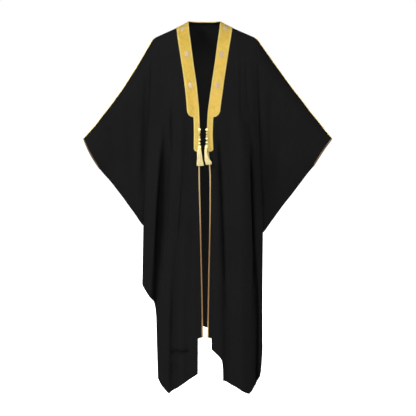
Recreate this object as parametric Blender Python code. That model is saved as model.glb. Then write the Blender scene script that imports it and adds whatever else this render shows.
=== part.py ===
"""An open-fronted cloak for a man, black, with gold braid bands, in its worn shape.

Metres. X to the right as seen from the front, Y to the back, Z up. The origin is at the base of the neck,
midway between the shoulders. "Left" and "right" are as seen from the front: left is -X.
Every cloth piece is a grid of points on one shared surface, given a wall on both sides of it. The pieces
meet at their seams on the same points, with a small gap, and every trim is made from its panel's points.
"""
import math

import bpy
import numpy as np

# Walls and gaps
CLOTH = 0.0015            # wall of the black cloth
BAND = 0.0020             # embroidered band around the neck and down the fronts
EDGING = 0.0030           # braid down the front edges, below the band
BRAID = 0.0014            # narrow braid on the sleeves
GAP = 0.0003              # left between any two pieces
SAME_POINT = 1e-5         # points closer than this are one point of a seam

# Band and braid widths
EDGING_WIDTH = 0.0065
BAND_NARROW = 0.023       # lower part of the front band
BAND_WIDE = 0.047         # upper part of the front band, and around the back of the neck
SLEEVE_BRAID_WIDTH = 0.006
CUFF_BRAID_WIDTH = 0.007
RIM_ORDER = (0.31, 0.52, 0.79)   # settles which way a rim's cells are cut, the same on both sides of a seam

# Levels
LOW_SHOULDER = -0.16      # where the rounding over the shoulder ends
BAND_WIDE_END = -0.374
BAND_END = -0.505
EDGING_END = -1.236
SHOULDER_TURN = math.radians(72)
LEVELS = (-0.27, BAND_WIDE_END, -0.44, BAND_END, -0.60, -0.71)   # rows from the shoulder to the underarm
SHOULDER_ROWS = 4
UNDERARM_ROW = SHOULDER_ROWS + len(LEVELS) + 1
WIDE_END_ROW = SHOULDER_ROWS + 1 + LEVELS.index(BAND_WIDE_END)
BAND_END_ROW = SHOULDER_ROWS + 1 + LEVELS.index(BAND_END)
BAND_CORNERS = {(WIDE_END_ROW, 3): 0.023, (BAND_END_ROW, 2): 0.015}   # how far a band's outer corner is cut

# Neck
NECK_BACK = 0.055         # how far the neckline lies behind the shoulder line
NECK_RIDGE = -0.0085      # height at the neck of the shoulder line's straight part
NECK_LIFT = 0.0035        # how much higher it ends, over NECK_LIFT_REACH
NECK_LIFT_REACH = 0.035
NECK_CENTRE = -0.003      # height of the neckline at the middle of the back
NECK_BAND_FALL = 0.0415   # how far the neck band's outer edge lies below the neckline, at the middle
NECK_BAND_TURN = math.radians(8)     # turn over the shoulder of that edge, at its outer end
NECK_WIDE_TURN = math.radians(27)    # the same row's turn out at the armhole, at most
NECK_OPENING = 3.8        # how fast it opens out between the two, in radians a metre
NECK_SPREAD = 0.080       # how far to the sides of the neck the back is drawn back with it
NECK_EASE = math.radians(25)         # turn at which it has eased from the neckline into that
NECK_CELLS = 6
NECK_PIPING = 0.004       # diameter
PIPING_SIDES = 6
PIPING_SHORT = 0.4        # share of its end cells that the piping stops short of the front bands

# Columns of a front: the trims' widths, then shares of what is left up to the armhole and side seam
TRIM_COLUMNS = (0.0, EDGING_WIDTH, BAND_NARROW, BAND_WIDE)
SIDE_CELLS = 14

# Each side's outline, as distance out from the middle (a) against height (z). "cut" is how much further out
# the front edge stands below the end of its braid.
SIDES = {
    "left": {
        "sign": -1.0,
        "edge": ((0.0, 0.064), (-0.045, 0.0605), (-0.157, 0.045), (-0.271, 0.029), (-0.374, 0.0205),
                 (-0.44, 0.0192), (-0.575, 0.0200), (-1.236, 0.0070), (-1.50, 0.0070)),
        "cut": ((-1.236, 0.0), (-1.245, 0.0200), (-1.50, 0.0210)),
        "shoulder": (0.2005, -0.0692),
        "sleeve_tip": (0.4795, -0.461),
        "cuff_low": (0.420, -0.576),
        "cuff_bow": 0.003,
        "underarm": (0.2465, -0.808),
        "side_hem": (0.253, -1.038),
        "top_sag": 0.024,
        "under_lift": 0.009,
        # shares of the way from the underarm to the hem
        "shares": (0.0, 0.17, 0.34, 0.50, 0.64, 0.749, 0.765, 0.85, 0.92, 1.0),
        "hem": ((0.028, -1.377), (0.085, -1.415), (0.142, -1.462), (0.170, -1.434), (0.189, -1.408),
                (0.195, -1.150), (0.2030, -1.104), (0.221, -1.078), (0.253, -1.038)),
        "boxy": 2.2,
    },
    "right": {
        "sign": 1.0,
        "edge": ((0.0, 0.060), (-0.045, 0.055), (-0.157, 0.0388), (-0.271, 0.0220), (-0.355, 0.0106),
                 (-0.415, 0.0067), (-0.484, 0.0079), (-0.575, 0.0160), (-0.64, 0.0163), (-0.88, 0.0112),
                 (-1.236, 0.0085), (-1.50, 0.0085)),
        "cut": ((-1.236, 0.0), (-1.245, 0.0160), (-1.279, 0.0170), (-1.300, 0.0375), (-1.329, 0.0575),
                (-1.360, 0.0620), (-1.50, 0.0645)),
        "shoulder": (0.2005, -0.0692),
        "sleeve_tip": (0.501, -0.461),
        "cuff_low": (0.4305, -0.567),
        "cuff_bow": -0.0045,
        "underarm": (0.230, -0.837),
        "side_hem": (0.230, -1.284),
        "top_sag": 0.009,
        "under_lift": 0.004,
        "shares": (0.0, 0.23, 0.47, 0.701, 0.717, 0.777, 0.815, 0.865, 0.925, 1.0),
        "hem": ((0.073, -1.406), (0.125, -1.432), (0.173, -1.464), (0.186, -1.458), (0.2050, -1.442),
                (0.2180, -1.411), (0.2215, -1.388), (0.2262, -1.335), (0.230, -1.284)),
        "boxy": 3.4,
    },
}
CUT_FADE = 2.5            # the cut dies out over this many times its own width, and at least over CUT_LEAST
CUT_LEAST = 0.06
BACK_HEM = ((-0.253, -1.038), (-0.20, -1.120), (-0.12, -1.200), (0.0, -1.249), (0.12, -1.272),
            (0.230, -1.284))

# Depth of the front and of the back from the shoulder line, against height
FRONT_DEPTH = ((-1.46, 0.124), (-1.20, 0.121), (-0.80, 0.125), (-0.505, 0.128), (-0.374, 0.122),
               (-0.27, 0.112), (LOW_SHOULDER, 0.090))
BACK_DEPTH = ((-1.30, 0.130), (-0.80, 0.115), (-0.505, 0.112), (-0.374, 0.112), (-0.27, 0.105),
              (LOW_SHOULDER, 0.085))
FRONT_INNER = 0.012       # the fronts are at their full depth up to here
BOXY_TOP = 2.0            # power of the rounding to the sides at the shoulders; below, each side's "boxy"
BACK_BOXY = 2.6
SIDE_POWER = 0.5          # how bluntly front and back meet at the side seam
ARMHOLE_DEPTH = 0.068     # half depth of the sleeve where it leaves the shoulder
ARMHOLE_FALL = 0.6        # power of its fall to nothing at the underarm
CUFF_DEPTH = 0.030        # half depth of the cuff
SLEEVE_BULGE = 0.16       # how much deeper a sleeve is halfway, as a share of its depth
SLEEVE_HOLLOW = 0.65      # power of its fall from the armhole's depth to the cuff's

# Folds: a valley (positive) or a ridge (negative) that runs down a panel
FOLD_HEIGHTS = (-0.40, -0.80, -1.20)
FOLD_GROWTH = 0.22        # length over which a fold grows from nothing
FOLD_MOST = 1.2           # how far the growth of its depth goes on below the last height
FRONT_FOLD_FADE = 0.12    # share of the width over which the folds die out towards the side seam
BACK_FOLD_FADE = 0.15
# panel, a at each of the heights, height where it starts, half width, depth there, depth at the last height
FOLDS = (
    ("left", 0.150, 0.177, 0.201, -0.30, 0.014, 0.010, 0.044),
    ("left", 0.103, 0.133, 0.146, -0.26, 0.014, -0.009, -0.006),
    ("left", 0.075, 0.098, 0.125, -0.50, 0.012, 0.003, 0.008),
    ("left", 0.060, 0.070, 0.090, -0.55, 0.018, -0.002, -0.007),
    ("right", 0.172, 0.181, 0.203, -0.34, 0.014, 0.016, 0.034),
    ("right", 0.128, 0.130, 0.146, -0.30, 0.022, -0.009, -0.013),
    ("right", 0.050, 0.067, 0.084, -0.34, 0.013, 0.006, 0.011),
    ("back", -0.150, -0.165, -0.185, -0.30, 0.022, 0.006, 0.022),
    ("back", -0.060, -0.070, -0.080, -0.35, 0.024, 0.004, 0.014),
    ("back", 0.055, 0.060, 0.066, -0.35, 0.022, 0.004, 0.014),
    ("back", 0.140, 0.155, 0.172, -0.30, 0.020, 0.006, 0.022),
)

# Sleeves
SLEEVE_RINGS = 7

# Bead strings and tassels: (height, sideways place, half width) of each ring
BEADS = {
    "left": {"x": -0.0204, "beads": ((-0.4207, 0.0048), (-0.4312, 0.0034), (-0.4492, 0.0028),
                                     (-0.4590, 0.0040), (-0.4730, 0.0036))},
    "right": {"x": 0.0064, "beads": ((-0.4210, 0.0048), (-0.4340, 0.0034), (-0.4452, 0.0028),
                                     (-0.4550, 0.0040), (-0.4697, 0.0036))},
}
STRING_RADIUS = 0.0013
BEAD_SIDES = 7
BEAD_TURNS = (math.radians(55), math.radians(18), math.radians(-18), math.radians(-55))
TASSELS = {
    "left": ((-0.4800, -0.0200, 0.0018), (-0.4830, -0.0200, 0.0030), (-0.4890, -0.0206, 0.0052),
             (-0.4985, -0.0212, 0.0078), (-0.5080, -0.0216, 0.0096), (-0.5290, -0.0196, 0.0106),
             (-0.5490, -0.0180, 0.0134), (-0.5580, -0.0178, 0.0144)),
    "right": ((-0.4775, 0.0062, 0.0018), (-0.4805, 0.0060, 0.0030), (-0.4890, 0.0046, 0.0048),
              (-0.5020, 0.0036, 0.0058), (-0.5240, 0.0052, 0.0074), (-0.5370, 0.0098, 0.0114),
              (-0.5450, 0.0148, 0.0140), (-0.5530, 0.0142, 0.0118)),
}
TASSEL_DEPTH = 0.0060     # half thickness, front to back
TASSEL_SIDES = 10

# Colours: red, green, blue, roughness, metallic
COLOURS = {
    "black_cloth": (0.010, 0.010, 0.011, 0.85, 0.0),
    "gold_band": (0.62, 0.42, 0.07, 0.45, 0.6),
    "gold_braid": (0.58, 0.36, 0.12, 0.5, 0.5),
    "pale_gold_thread": (0.82, 0.72, 0.34, 0.6, 0.2),
}


def table(rows, at):
    """The value of a two-column table at a place, straight between its rows."""
    ordered = sorted(rows)
    return float(np.interp(at, [row[0] for row in ordered], [row[1] for row in ordered]))


def smooth(low, high, at):
    """0 at or below low, 1 at or above high, eased in between."""
    share = min(1.0, max(0.0, (at - low) / (high - low)))
    return share * share * (3 - 2 * share)


def fold_depth(panel, a, z):
    """How far the panel's folds push its surface inwards at one place."""
    total = 0.0
    for owner, at_high, at_mid, at_low, start, half, first, last in FOLDS:
        if owner != panel or z > start:
            continue
        path = table(tuple(zip(FOLD_HEIGHTS, (at_high, at_mid, at_low))), z)
        share = min(FOLD_MOST, (start - z) / (start - FOLD_HEIGHTS[-1]))
        depth = smooth(0.0, FOLD_GROWTH, start - z) * (first + (last - first) * share)
        total += depth * math.exp(-((a - path) / half) ** 2)
    return total


def armhole_depth(side, z):
    """Half depth of the sleeve at the armhole, from the shoulder's rounding down to the underarm."""
    low = side["underarm"][1]
    share = min(1.0, max(0.0, (z - low) / (LOW_SHOULDER - low)))
    return ARMHOLE_DEPTH * share ** ARMHOLE_FALL


def side_place(side, z):
    """Distance out of the armhole line or side seam at a height."""
    (shoulder, high), (arm, mid), (hem, low) = side["shoulder"], side["underarm"], side["side_hem"]
    return float(np.interp(-z, (-high, -mid, -low), (shoulder, arm, hem)))


def row_levels(side, hem):
    """Heights of a column's rows from the shoulder's rounding to its hem."""
    under = side["underarm"][1]
    return (LOW_SHOULDER, *LEVELS, *(under + (hem - under) * share for share in side["shares"]))


def ridge(side, a):
    """Height of the shoulder line at a distance out from the middle."""
    (end, low), start = side["shoulder"], side["edge"][0][1]
    lift = NECK_LIFT * max(0.0, 1 - (a - start) / NECK_LIFT_REACH) ** 2
    return NECK_RIDGE + (low - NECK_RIDGE) * (a - start) / (end - start) + lift


def band_edge_turn(side, a, top):
    """Turn over the shoulder at which the neck band ends, and beyond it the back's second row."""
    reach = side["edge"][0][1] + BAND_WIDE
    if a > reach + SAME_POINT:
        return min(NECK_WIDE_TURN, NECK_BAND_TURN + (a - reach) * NECK_OPENING)
    middle = NECK_CENTRE - NECK_BAND_FALL
    level = ridge(side, reach) + (middle - ridge(side, reach)) * math.sqrt(max(0.0, 1 - (a / reach) ** 2))
    drop = max(0.0, top - level) / (top - LOW_SHOULDER)
    return max(NECK_BAND_TURN, math.acos(1 - drop * (1 - math.cos(SHOULDER_TURN))))


def openness(row):
    """0 on the shoulder, where a panel runs on into the sleeve; 1 below the underarm, where it closes."""
    return smooth(SHOULDER_ROWS, UNDERARM_ROW, row)


def front_grid(name):
    """Points of a front, from its open edge out to the armhole and side seam, and from shoulder to hem."""
    side = SIDES[name]
    columns = len(TRIM_COLUMNS) + SIDE_CELLS
    rows = UNDERARM_ROW + len(side["shares"])
    points = np.zeros((rows, columns, 3))
    for column in range(columns):
        even = max(0.0, (column - len(TRIM_COLUMNS) + 1) / SIDE_CELLS)
        for row in range(rows):
            closing = openness(row)
            share = even + (math.sin(even * math.pi / 2) - even) * closing
            level = max(0, row - SHOULDER_ROWS)
            edge_z = row_levels(side, side["hem"][0][1])[level]
            out_z = row_levels(side, side["side_hem"][1])[level]
            turn = SHOULDER_TURN * min(1.0, row / SHOULDER_ROWS)
            drop = (1 - math.cos(turn)) / (1 - math.cos(SHOULDER_TURN))
            if row < SHOULDER_ROWS:
                edge_z = NECK_RIDGE + (LOW_SHOULDER - NECK_RIDGE) * drop
                out_z = side["shoulder"][1] + (LOW_SHOULDER - side["shoulder"][1]) * drop
            edge = table(side["edge"], edge_z) if row else side["edge"][0][1]
            out = side_place(side, out_z)
            a = edge + TRIM_COLUMNS[min(column, len(TRIM_COLUMNS) - 1)]
            a += (out - a) * share
            cut = table(side["cut"], edge_z)
            a += cut * max(0.0, 1 - (a - edge) / max(CUT_LEAST, CUT_FADE * cut)) ** 2
            if row < SHOULDER_ROWS:
                top = ridge(side, a)
                z = top + (LOW_SHOULDER - top) * drop
            else:
                z = row_levels(side, table(side["hem"], a))[level]
            across = min(1.0, max(0.0, (a - FRONT_INNER) / (out - FRONT_INNER)))
            armhole = armhole_depth(side, out_z) if row < UNDERARM_ROW else 0.0
            boxy = BOXY_TOP + (side["boxy"] - BOXY_TOP) * closing
            round_off = (1 - across ** boxy) ** (1 - SIDE_POWER * closing)
            depth = armhole + (table(FRONT_DEPTH, z) - armhole) * round_off
            depth -= fold_depth(name, a, z) * smooth(0.0, FRONT_FOLD_FADE, 1 - across)
            z += BAND_CORNERS.get((row, column), 0.0)
            points[row, column] = (side["sign"] * a, -depth * math.sin(turn) / math.sin(SHOULDER_TURN), z)
    return points


def back_profile(side, start, a, turn):
    """A point of the back between its top edge and the end of the shoulder's rounding."""
    top = start[2]
    out = side_place(side, LOW_SHOULDER)
    depth = ARMHOLE_DEPTH + (table(BACK_DEPTH, LOW_SHOULDER) - ARMHOLE_DEPTH) * (1 - (a / out) ** 2)
    share = math.sin(turn) / math.sin(SHOULDER_TURN)
    drop = (1 - math.cos(turn)) / (1 - math.cos(SHOULDER_TURN))
    beside = min(1.0, a / (side["edge"][0][1] + NECK_SPREAD))
    drawn = NECK_BACK * (1 + math.cos(math.pi * beside)) / 2
    begin = start[1] + (drawn - start[1]) * smooth(0.0, NECK_EASE, turn)
    return np.array((start[0], begin + (depth - begin) * share, top + (LOW_SHOULDER - top) * drop))


def back_top():
    """The back's top edge: the two shoulder lines, with the neckline between them."""
    top = []
    for name in ("left", "right"):
        side = SIDES[name]
        line = front_grid(name)[0][::-1] if name == "left" else front_grid(name)[0]
        neck = []
        for cell in range(1, NECK_CELLS // 2 + 1):
            angle = math.pi / 2 * (1 - cell / (NECK_CELLS // 2))
            neck.append((side["sign"] * side["edge"][0][1] * math.sin(angle), NECK_BACK * math.cos(angle),
                         NECK_RIDGE + NECK_LIFT + (NECK_CENTRE - NECK_RIDGE - NECK_LIFT) * math.cos(angle)))
        if name == "left":
            top += [(name, point) for point in line] + [(name, np.array(point)) for point in neck]
        else:
            top += [(name, np.array(point)) for point in neck[-2::-1]] + [(name, point) for point in line]
    return top


def back_grid():
    """Points of the back, from the left armhole and side seam to the right, and from its top to its hem."""
    top = back_top()
    rows = UNDERARM_ROW + len(SIDES["left"]["shares"])
    points = np.zeros((rows, len(top), 3))
    for column, (name, start) in enumerate(top):
        side = SIDES[name]
        a = abs(start[0])
        second = band_edge_turn(side, a, start[2])
        turns = (0.0, second / 2, second, (second + SHOULDER_TURN) / 2, SHOULDER_TURN)
        for row in range(SHOULDER_ROWS + 1):
            points[row, column] = back_profile(side, start, a, turns[row])
    spread = np.linspace(-1, 1, len(top))
    for row in range(SHOULDER_ROWS + 1, rows):
        closing = openness(row)
        level = row - SHOULDER_ROWS
        ends = [row_levels(SIDES[name], SIDES[name]["side_hem"][1])[level] for name in ("left", "right")]
        left = -side_place(SIDES["left"], ends[0])
        right = side_place(SIDES["right"], ends[1])
        for column, (name, start) in enumerate(top):
            side = SIDES[name]
            share = spread[column] + (math.sin(spread[column] * math.pi / 2) - spread[column]) * closing
            even = left + (right - left) * (share + 1) / 2
            own = start[0] * (left / top[0][1][0] if start[0] < 0 else right / top[-1][1][0])
            x = own + (even - own) * smooth(SHOULDER_ROWS, UNDERARM_ROW - 1, row)
            mix = (x - left) / (right - left)
            levels = [row_levels(SIDES[key], table(BACK_HEM, x))[level] for key in ("left", "right")]
            z = levels[0] + (levels[1] - levels[0]) * mix
            if row < UNDERARM_ROW:
                z = LEVELS[level - 1]
            if column in (0, len(top) - 1):
                z = ends[column > 0]
            across = min(1.0, abs(2 * mix - 1))
            armhole = armhole_depth(side, z) if row < UNDERARM_ROW else 0.0
            boxy = BOXY_TOP + (BACK_BOXY - BOXY_TOP) * closing
            round_off = (1 - across ** boxy) ** (1 - SIDE_POWER * closing)
            depth = armhole + (table(BACK_DEPTH, z) - armhole) * round_off
            depth -= fold_depth("back", x, z) * smooth(0.0, BACK_FOLD_FADE, 1 - across)
            points[row, column] = (x, depth, z)
    return points


def sleeve_grid(name, front, back):
    """Rings of a sleeve, from the armhole shared with front and back out to the cuff."""
    side = SIDES[name]
    back_column = back[:UNDERARM_ROW + 1, 0 if name == "left" else -1]
    armhole = np.concatenate((front[:UNDERARM_ROW + 1, -1], back_column[UNDERARM_ROW - 1:0:-1]))
    count = len(armhole)
    tip, low = np.array(side["sleeve_tip"]), np.array(side["cuff_low"])
    cuff = np.zeros((count, 3))
    weight = np.zeros(count)
    for index in range(count):
        angle = 2 * math.pi * index / count
        weight[index] = (1 - math.cos(angle)) / 2
        a, z = tip + (low - tip) * weight[index]
        a += side["cuff_bow"] * 4 * weight[index] * (1 - weight[index])
        cuff[index] = (side["sign"] * a, -CUFF_DEPTH * math.sin(angle), z)
    last = 1 - CUFF_BRAID_WIDTH / np.linalg.norm(cuff - armhole, axis=1)
    rings = np.zeros((SLEEVE_RINGS + 2, count, 3))
    for ring in range(SLEEVE_RINGS + 2):
        share = last * min(1.0, ring / SLEEVE_RINGS) if ring <= SLEEVE_RINGS else np.ones(count)
        bow = 4 * share * (1 - share)
        rings[ring] = armhole + (cuff - armhole) * share[:, None]
        rings[ring, :, 1] = armhole[:, 1] + (cuff - armhole)[:, 1] * share ** SLEEVE_HOLLOW
        rings[ring, :, 2] += bow * (side["under_lift"] * weight - side["top_sag"] * (1 - weight))
        rings[ring, :, 1] *= 1 + bow * SLEEVE_BULGE
    return rings


def triangles(rows, columns, closed, flip, left_out=()):
    """Triangles of a grid, each cell cut along the same diagonal."""
    found = []
    for row in range(rows - 1):
        for column in range(columns if closed else columns - 1):
            if (row, column) in left_out:
                continue
            a, b = row * columns + column, row * columns + (column + 1) % columns
            c, d = a + columns, b + columns
            found += [(a, b, d), (a, d, c)] if flip else [(a, d, b), (a, c, d)]
    return found


def seam_key(point):
    """A name for a point's place, the same for the points that two panels share at a seam."""
    return tuple(np.round(point / SAME_POINT).astype(int))


class Quilt:
    """All the cloth grids together, so that pieces share one normal at each point of a seam."""

    def __init__(self):
        self.grids = {}
        self.sums = {}

    def add(self, name, points, closed, flip):
        """Takes in a grid and adds its faces' directions to its points."""
        self.grids[name] = (points, closed, flip)
        flat = points.reshape(-1, 3)
        for a, b, c in triangles(*points.shape[:2], closed, flip):
            direction = unit(np.cross(flat[b] - flat[a], flat[c] - flat[a]))
            for here, one, other in ((a, b, c), (b, c, a), (c, a, b)):
                corner = np.dot(unit(flat[one] - flat[here]), unit(flat[other] - flat[here]))
                key = seam_key(flat[here])
                self.sums[key] = self.sums.get(key, 0.0) + direction * math.acos(corner)

    def normals(self, name):
        """The shared normals of a grid's points."""
        points = self.grids[name][0]
        keys = [seam_key(point) for point in points.reshape(-1, 3)]
        found = np.array([self.sums[key] for key in keys])
        return (found / np.linalg.norm(found, axis=1)[:, None]).reshape(points.shape)


def pulled(points, closed, seams):
    """The grid with its seam edges drawn back by half the gap."""
    moved = points.copy()
    rows, columns = points.shape[:2]
    for row in range(rows):
        for column in range(columns):
            step = np.zeros(3)
            if "top" in seams and row == 0:
                step += unit(points[1, column] - points[0, column])
            if "out" in seams and not closed and column == columns - 1:
                step += unit(points[row, column - 1] - points[row, column])
            if "in" in seams and not closed and column == 0:
                step += unit(points[row, 1] - points[row, 0])
            if "end" in seams and row == rows - 1:
                step += unit(points[row - 1, column] - points[row, column])
            moved[row, column] += step * GAP / 2
    return moved


def unit(vector):
    """The vector at a length of one."""
    return vector / np.linalg.norm(vector)


def make_object(name, points, faces, colour):
    """One closed mesh with its own material."""
    mesh = bpy.data.meshes.new(name)
    mesh.from_pydata([tuple(point) for point in points], [], faces)
    mesh.validate()
    mesh.shade_smooth()
    material = bpy.data.materials.new(name + "_material")
    material.use_nodes = True
    red, green, blue, roughness, metallic = COLOURS[colour]
    shader = material.node_tree.nodes["Principled BSDF"]
    shader.inputs["Base Color"].default_value = (red, green, blue, 1.0)
    shader.inputs["Roughness"].default_value = roughness
    shader.inputs["Metallic"].default_value = metallic
    mesh.materials.append(material)
    made = bpy.data.objects.new(name, mesh)
    bpy.context.scene.collection.objects.link(made)
    return made


def sheet(name, points, normals, low, high, closed, flip, colour, left_out=()):
    """A solid sheet between two distances from a grid, closed all round its edges."""
    rows, columns = points.shape[:2]
    top = triangles(rows, columns, closed, flip, left_out)
    used = sorted({index for face in top for index in face})
    place = {index: count for count, index in enumerate(used)}
    top = [tuple(place[index] for index in face) for face in top]
    count = len(used)
    flat = points.reshape(-1, 3)[used]
    outer = flat + normals.reshape(-1, 3)[used] * high
    inner = flat + normals.reshape(-1, 3)[used] * low
    faces = list(top) + [(c + count, b + count, a + count) for a, b, c in top]
    edges = {}
    for a, b, c in top:
        for pair in ((a, b), (b, c), (c, a)):
            edges[pair] = True
    for start, end in [pair for pair in edges if (pair[1], pair[0]) not in edges]:
        if np.dot(flat[end] - flat[start], RIM_ORDER) > 0:
            faces += [(end, start, start + count), (end, start + count, end + count)]
        else:
            faces += [(end, start, end + count), (start, start + count, end + count)]
    return make_object(name, np.concatenate((outer, inner)), faces, colour)


def tube(name, centres, rings, colour):
    """A closed body from a chain of rings, capped at both ends."""
    sides = len(rings[0])
    points = [centre + offset for centre, ring in zip(centres, rings) for offset in ring]
    faces = []
    for row in range(len(rings) - 1):
        for side in range(sides):
            a, b = row * sides + side, row * sides + (side + 1) % sides
            faces += [(a, b, b + sides), (a, b + sides, a + sides)]
    last = (len(rings) - 1) * sides
    faces.append(tuple(range(sides))[::-1])
    faces.append(tuple(last + side for side in range(sides)))
    return make_object(name, np.array(points), faces, colour)


def oval(sides, across, along):
    """A ring of points around the Z axis, taken so that a chain of them going down faces outwards."""
    angles = [-2 * math.pi * side / sides for side in range(sides)]
    return [np.array((across * math.cos(angle), along * math.sin(angle), 0.0)) for angle in angles]


def build_cloth():
    """The five cloth panels; gives back the quilt that the trims are made from."""
    quilt = Quilt()
    fronts = {name: front_grid(name) for name in SIDES}
    back = back_grid()
    quilt.add("back", back, False, True)
    for name in SIDES:
        quilt.add("front_" + name, fronts[name], False, name == "left")
        quilt.add("sleeve_" + name, sleeve_grid(name, fronts[name], back), True, name == "right")
    seams = {"front": ("top", "out"), "back": ("top", "in", "out"), "sleeve": ("top",)}
    for name, (points, closed, flip) in quilt.grids.items():
        grid = pulled(points, closed, seams[name.split("_")[0]])
        sheet(name, grid, quilt.normals(name), -CLOTH / 2, CLOTH / 2, closed, flip, "black_cloth")
    return quilt


def build_front_trims(quilt):
    """The band and the edging of each front, made from the front's own points and moved out."""
    low = CLOTH / 2 + GAP
    wide = len(TRIM_COLUMNS) - 1
    outside = {(row, wide - 1) for row in range(WIDE_END_ROW, BAND_END_ROW)}
    for name in SIDES:
        points, _, flip = quilt.grids["front_" + name]
        normals = quilt.normals("front_" + name)
        part = (slice(0, BAND_END_ROW + 1), slice(0, wide + 1))
        grid = pulled(points[part], False, ("top",))
        sheet("band_" + name, grid, normals[part], low, low + BAND, False, flip, "gold_band", outside)
        notch = int(np.argmin(np.abs(points[:, 0, 2] - EDGING_END)))
        part = (slice(BAND_END_ROW, notch + 1), slice(0, 2))
        grid = pulled(pulled(points[part], False, ("top",)), False, ("top",))
        sheet("edging_" + name, grid, normals[part], low, low + EDGING, False, flip, "gold_braid")


def build_neck_trims(quilt):
    """The band around the back of the neck, and the thin piping on the back neckline's edge."""
    low = CLOTH / 2 + GAP
    points, _, flip = quilt.grids["back"]
    normals = quilt.normals("back")
    first = len(TRIM_COLUMNS) + SIDE_CELLS - 1
    last = first + NECK_CELLS
    reach = len(TRIM_COLUMNS) - 1
    part = (slice(0, 3), slice(first - reach, last + reach + 1))
    grid = pulled(points, False, ("top",))[part]
    sheet("band_neck", grid, normals[part], low, low + BAND, False, flip, "gold_band")
    line, across = points[0, first:last + 1].copy(), normals[0, first:last + 1].copy()
    for end, inner in ((0, 1), (-1, -2)):
        line[end] += (line[inner] - line[end]) * PIPING_SHORT
        across[end] = unit(across[end] + (across[inner] - across[end]) * PIPING_SHORT)
    along = np.gradient(line, axis=0)
    rings, centres = [], []
    for place, normal, run in zip(line, across, along):
        off = unit(np.cross(run, normal))
        centres.append(place + off * (NECK_PIPING / 2 + GAP))
        up = unit(normal)
        turns = [-2 * math.pi * side / PIPING_SIDES for side in range(PIPING_SIDES)]
        rings.append([(off * math.cos(turn) + up * math.sin(turn)) * NECK_PIPING / 2 for turn in turns])
    tube("neck_piping", centres, rings, "gold_braid")


def build_sleeve_trims(quilt):
    """The braid along the top of each sleeve and the braid around its cuff."""
    low = CLOTH / 2 + GAP
    for name in SIDES:
        rings, _, flip = quilt.grids["sleeve_" + name]
        normals = quilt.normals("sleeve_" + name)
        cuff = pulled(rings[SLEEVE_RINGS:], True, ("top",))
        tilt = normals[SLEEVE_RINGS:]
        sheet("cuff_braid_" + name, cuff, tilt, low, low + BRAID, True, flip, "gold_braid")
        strip = np.zeros((SLEEVE_RINGS + 1, 3, 3))
        tilt = np.zeros((SLEEVE_RINGS + 1, 3, 3))
        for ring in range(SLEEVE_RINGS + 1):
            for column, side in enumerate((-1, 0, 1)):
                step = rings[ring, side] - rings[ring, 0]
                share = SLEEVE_BRAID_WIDTH / 2 / np.linalg.norm(step) if side else 0.0
                strip[ring, column] = rings[ring, 0] + step * share
                tilt[ring, column] = normals[ring, 0] + (normals[ring, side] - normals[ring, 0]) * share
        strip = pulled(strip, False, ("top", "end"))
        sheet("sleeve_braid_" + name, strip, tilt, low, low + BRAID, False, flip, "gold_braid")


def build_tassels():
    """A string of beads and a tassel in front of each front's edge."""
    clear = CLOTH / 2 + GAP + EDGING + GAP
    for name in SIDES:
        rows = [(BEADS[name]["beads"][0][0] + BEADS[name]["beads"][0][1], STRING_RADIUS)]
        for z, radius in BEADS[name]["beads"]:
            rows += [(z + radius * math.sin(turn), radius * math.cos(turn)) for turn in BEAD_TURNS]
        rows.append((TASSELS[name][0][0] + GAP, STRING_RADIUS))
        out = CLOTH / 2 + GAP + BAND + GAP + max(radius for _, radius in BEADS[name]["beads"])
        centres = [np.array((BEADS[name]["x"], -table(FRONT_DEPTH, z) - out, z)) for z, _ in rows]
        rings = [oval(BEAD_SIDES, radius, radius) for _, radius in rows]
        tube("bead_string_" + name, centres, rings, "pale_gold_thread")
        centres, rings = [], []
        for z, x, half in TASSELS[name]:
            thick = min(half, TASSEL_DEPTH)
            centres.append(np.array((x, -table(FRONT_DEPTH, z) - max(out, clear + thick), z)))
            rings.append(oval(TASSEL_SIDES, half, thick))
        tube("tassel_" + name, centres, rings, "pale_gold_thread")


def clear_scene():
    """Takes out the objects that the scene starts with."""
    for item in list(bpy.data.objects):
        bpy.data.objects.remove(item, do_unlink=True)


clear_scene()
cloth = build_cloth()
build_front_trims(cloth)
build_neck_trims(cloth)
build_sleeve_trims(cloth)
build_tassels()
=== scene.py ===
"""The looks of an open-fronted cloak for a man: black cloth, gold braid bands, in its worn shape.

Metres. X to the right as seen from the front, Y to the back, Z up. The origin is at the base of the neck,
midway between the shoulders. "Left" and "right" are as seen from the front: left is -X.
Each panel is a thin shell on its solid's form: key rows are worked out as the solid's are, a smooth curve
runs down through them, and the smaller creases are pressed into it. What is sewn on is made from the
panel's surface, moved out.
"""

import bpy
import numpy as np
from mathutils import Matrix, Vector, noise


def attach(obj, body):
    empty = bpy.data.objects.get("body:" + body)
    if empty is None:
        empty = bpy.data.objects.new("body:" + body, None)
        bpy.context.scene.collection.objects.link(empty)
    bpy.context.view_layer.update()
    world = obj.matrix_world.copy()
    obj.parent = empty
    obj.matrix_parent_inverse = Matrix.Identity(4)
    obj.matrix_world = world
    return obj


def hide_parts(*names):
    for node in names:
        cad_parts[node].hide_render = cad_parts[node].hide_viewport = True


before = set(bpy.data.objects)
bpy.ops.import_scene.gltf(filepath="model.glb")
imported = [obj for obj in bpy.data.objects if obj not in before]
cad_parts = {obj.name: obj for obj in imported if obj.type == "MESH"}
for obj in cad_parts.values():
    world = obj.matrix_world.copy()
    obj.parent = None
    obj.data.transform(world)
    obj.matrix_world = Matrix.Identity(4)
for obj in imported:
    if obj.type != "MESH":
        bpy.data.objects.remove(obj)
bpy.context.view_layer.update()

# Half of the cloth's wall, and how far the sewn-on pieces stand out from its middle
CLOTH_HALF = 0.00045
HEM_HALF = 0.0008  # the cloth is double over its narrow hem
HEM_ROWS = 2
BAND_LOW = 0.0005
BAND_HIGH = 0.0019
BORDER_RISE = 0.0007  # the band's two border braids stand higher than its middle
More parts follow.
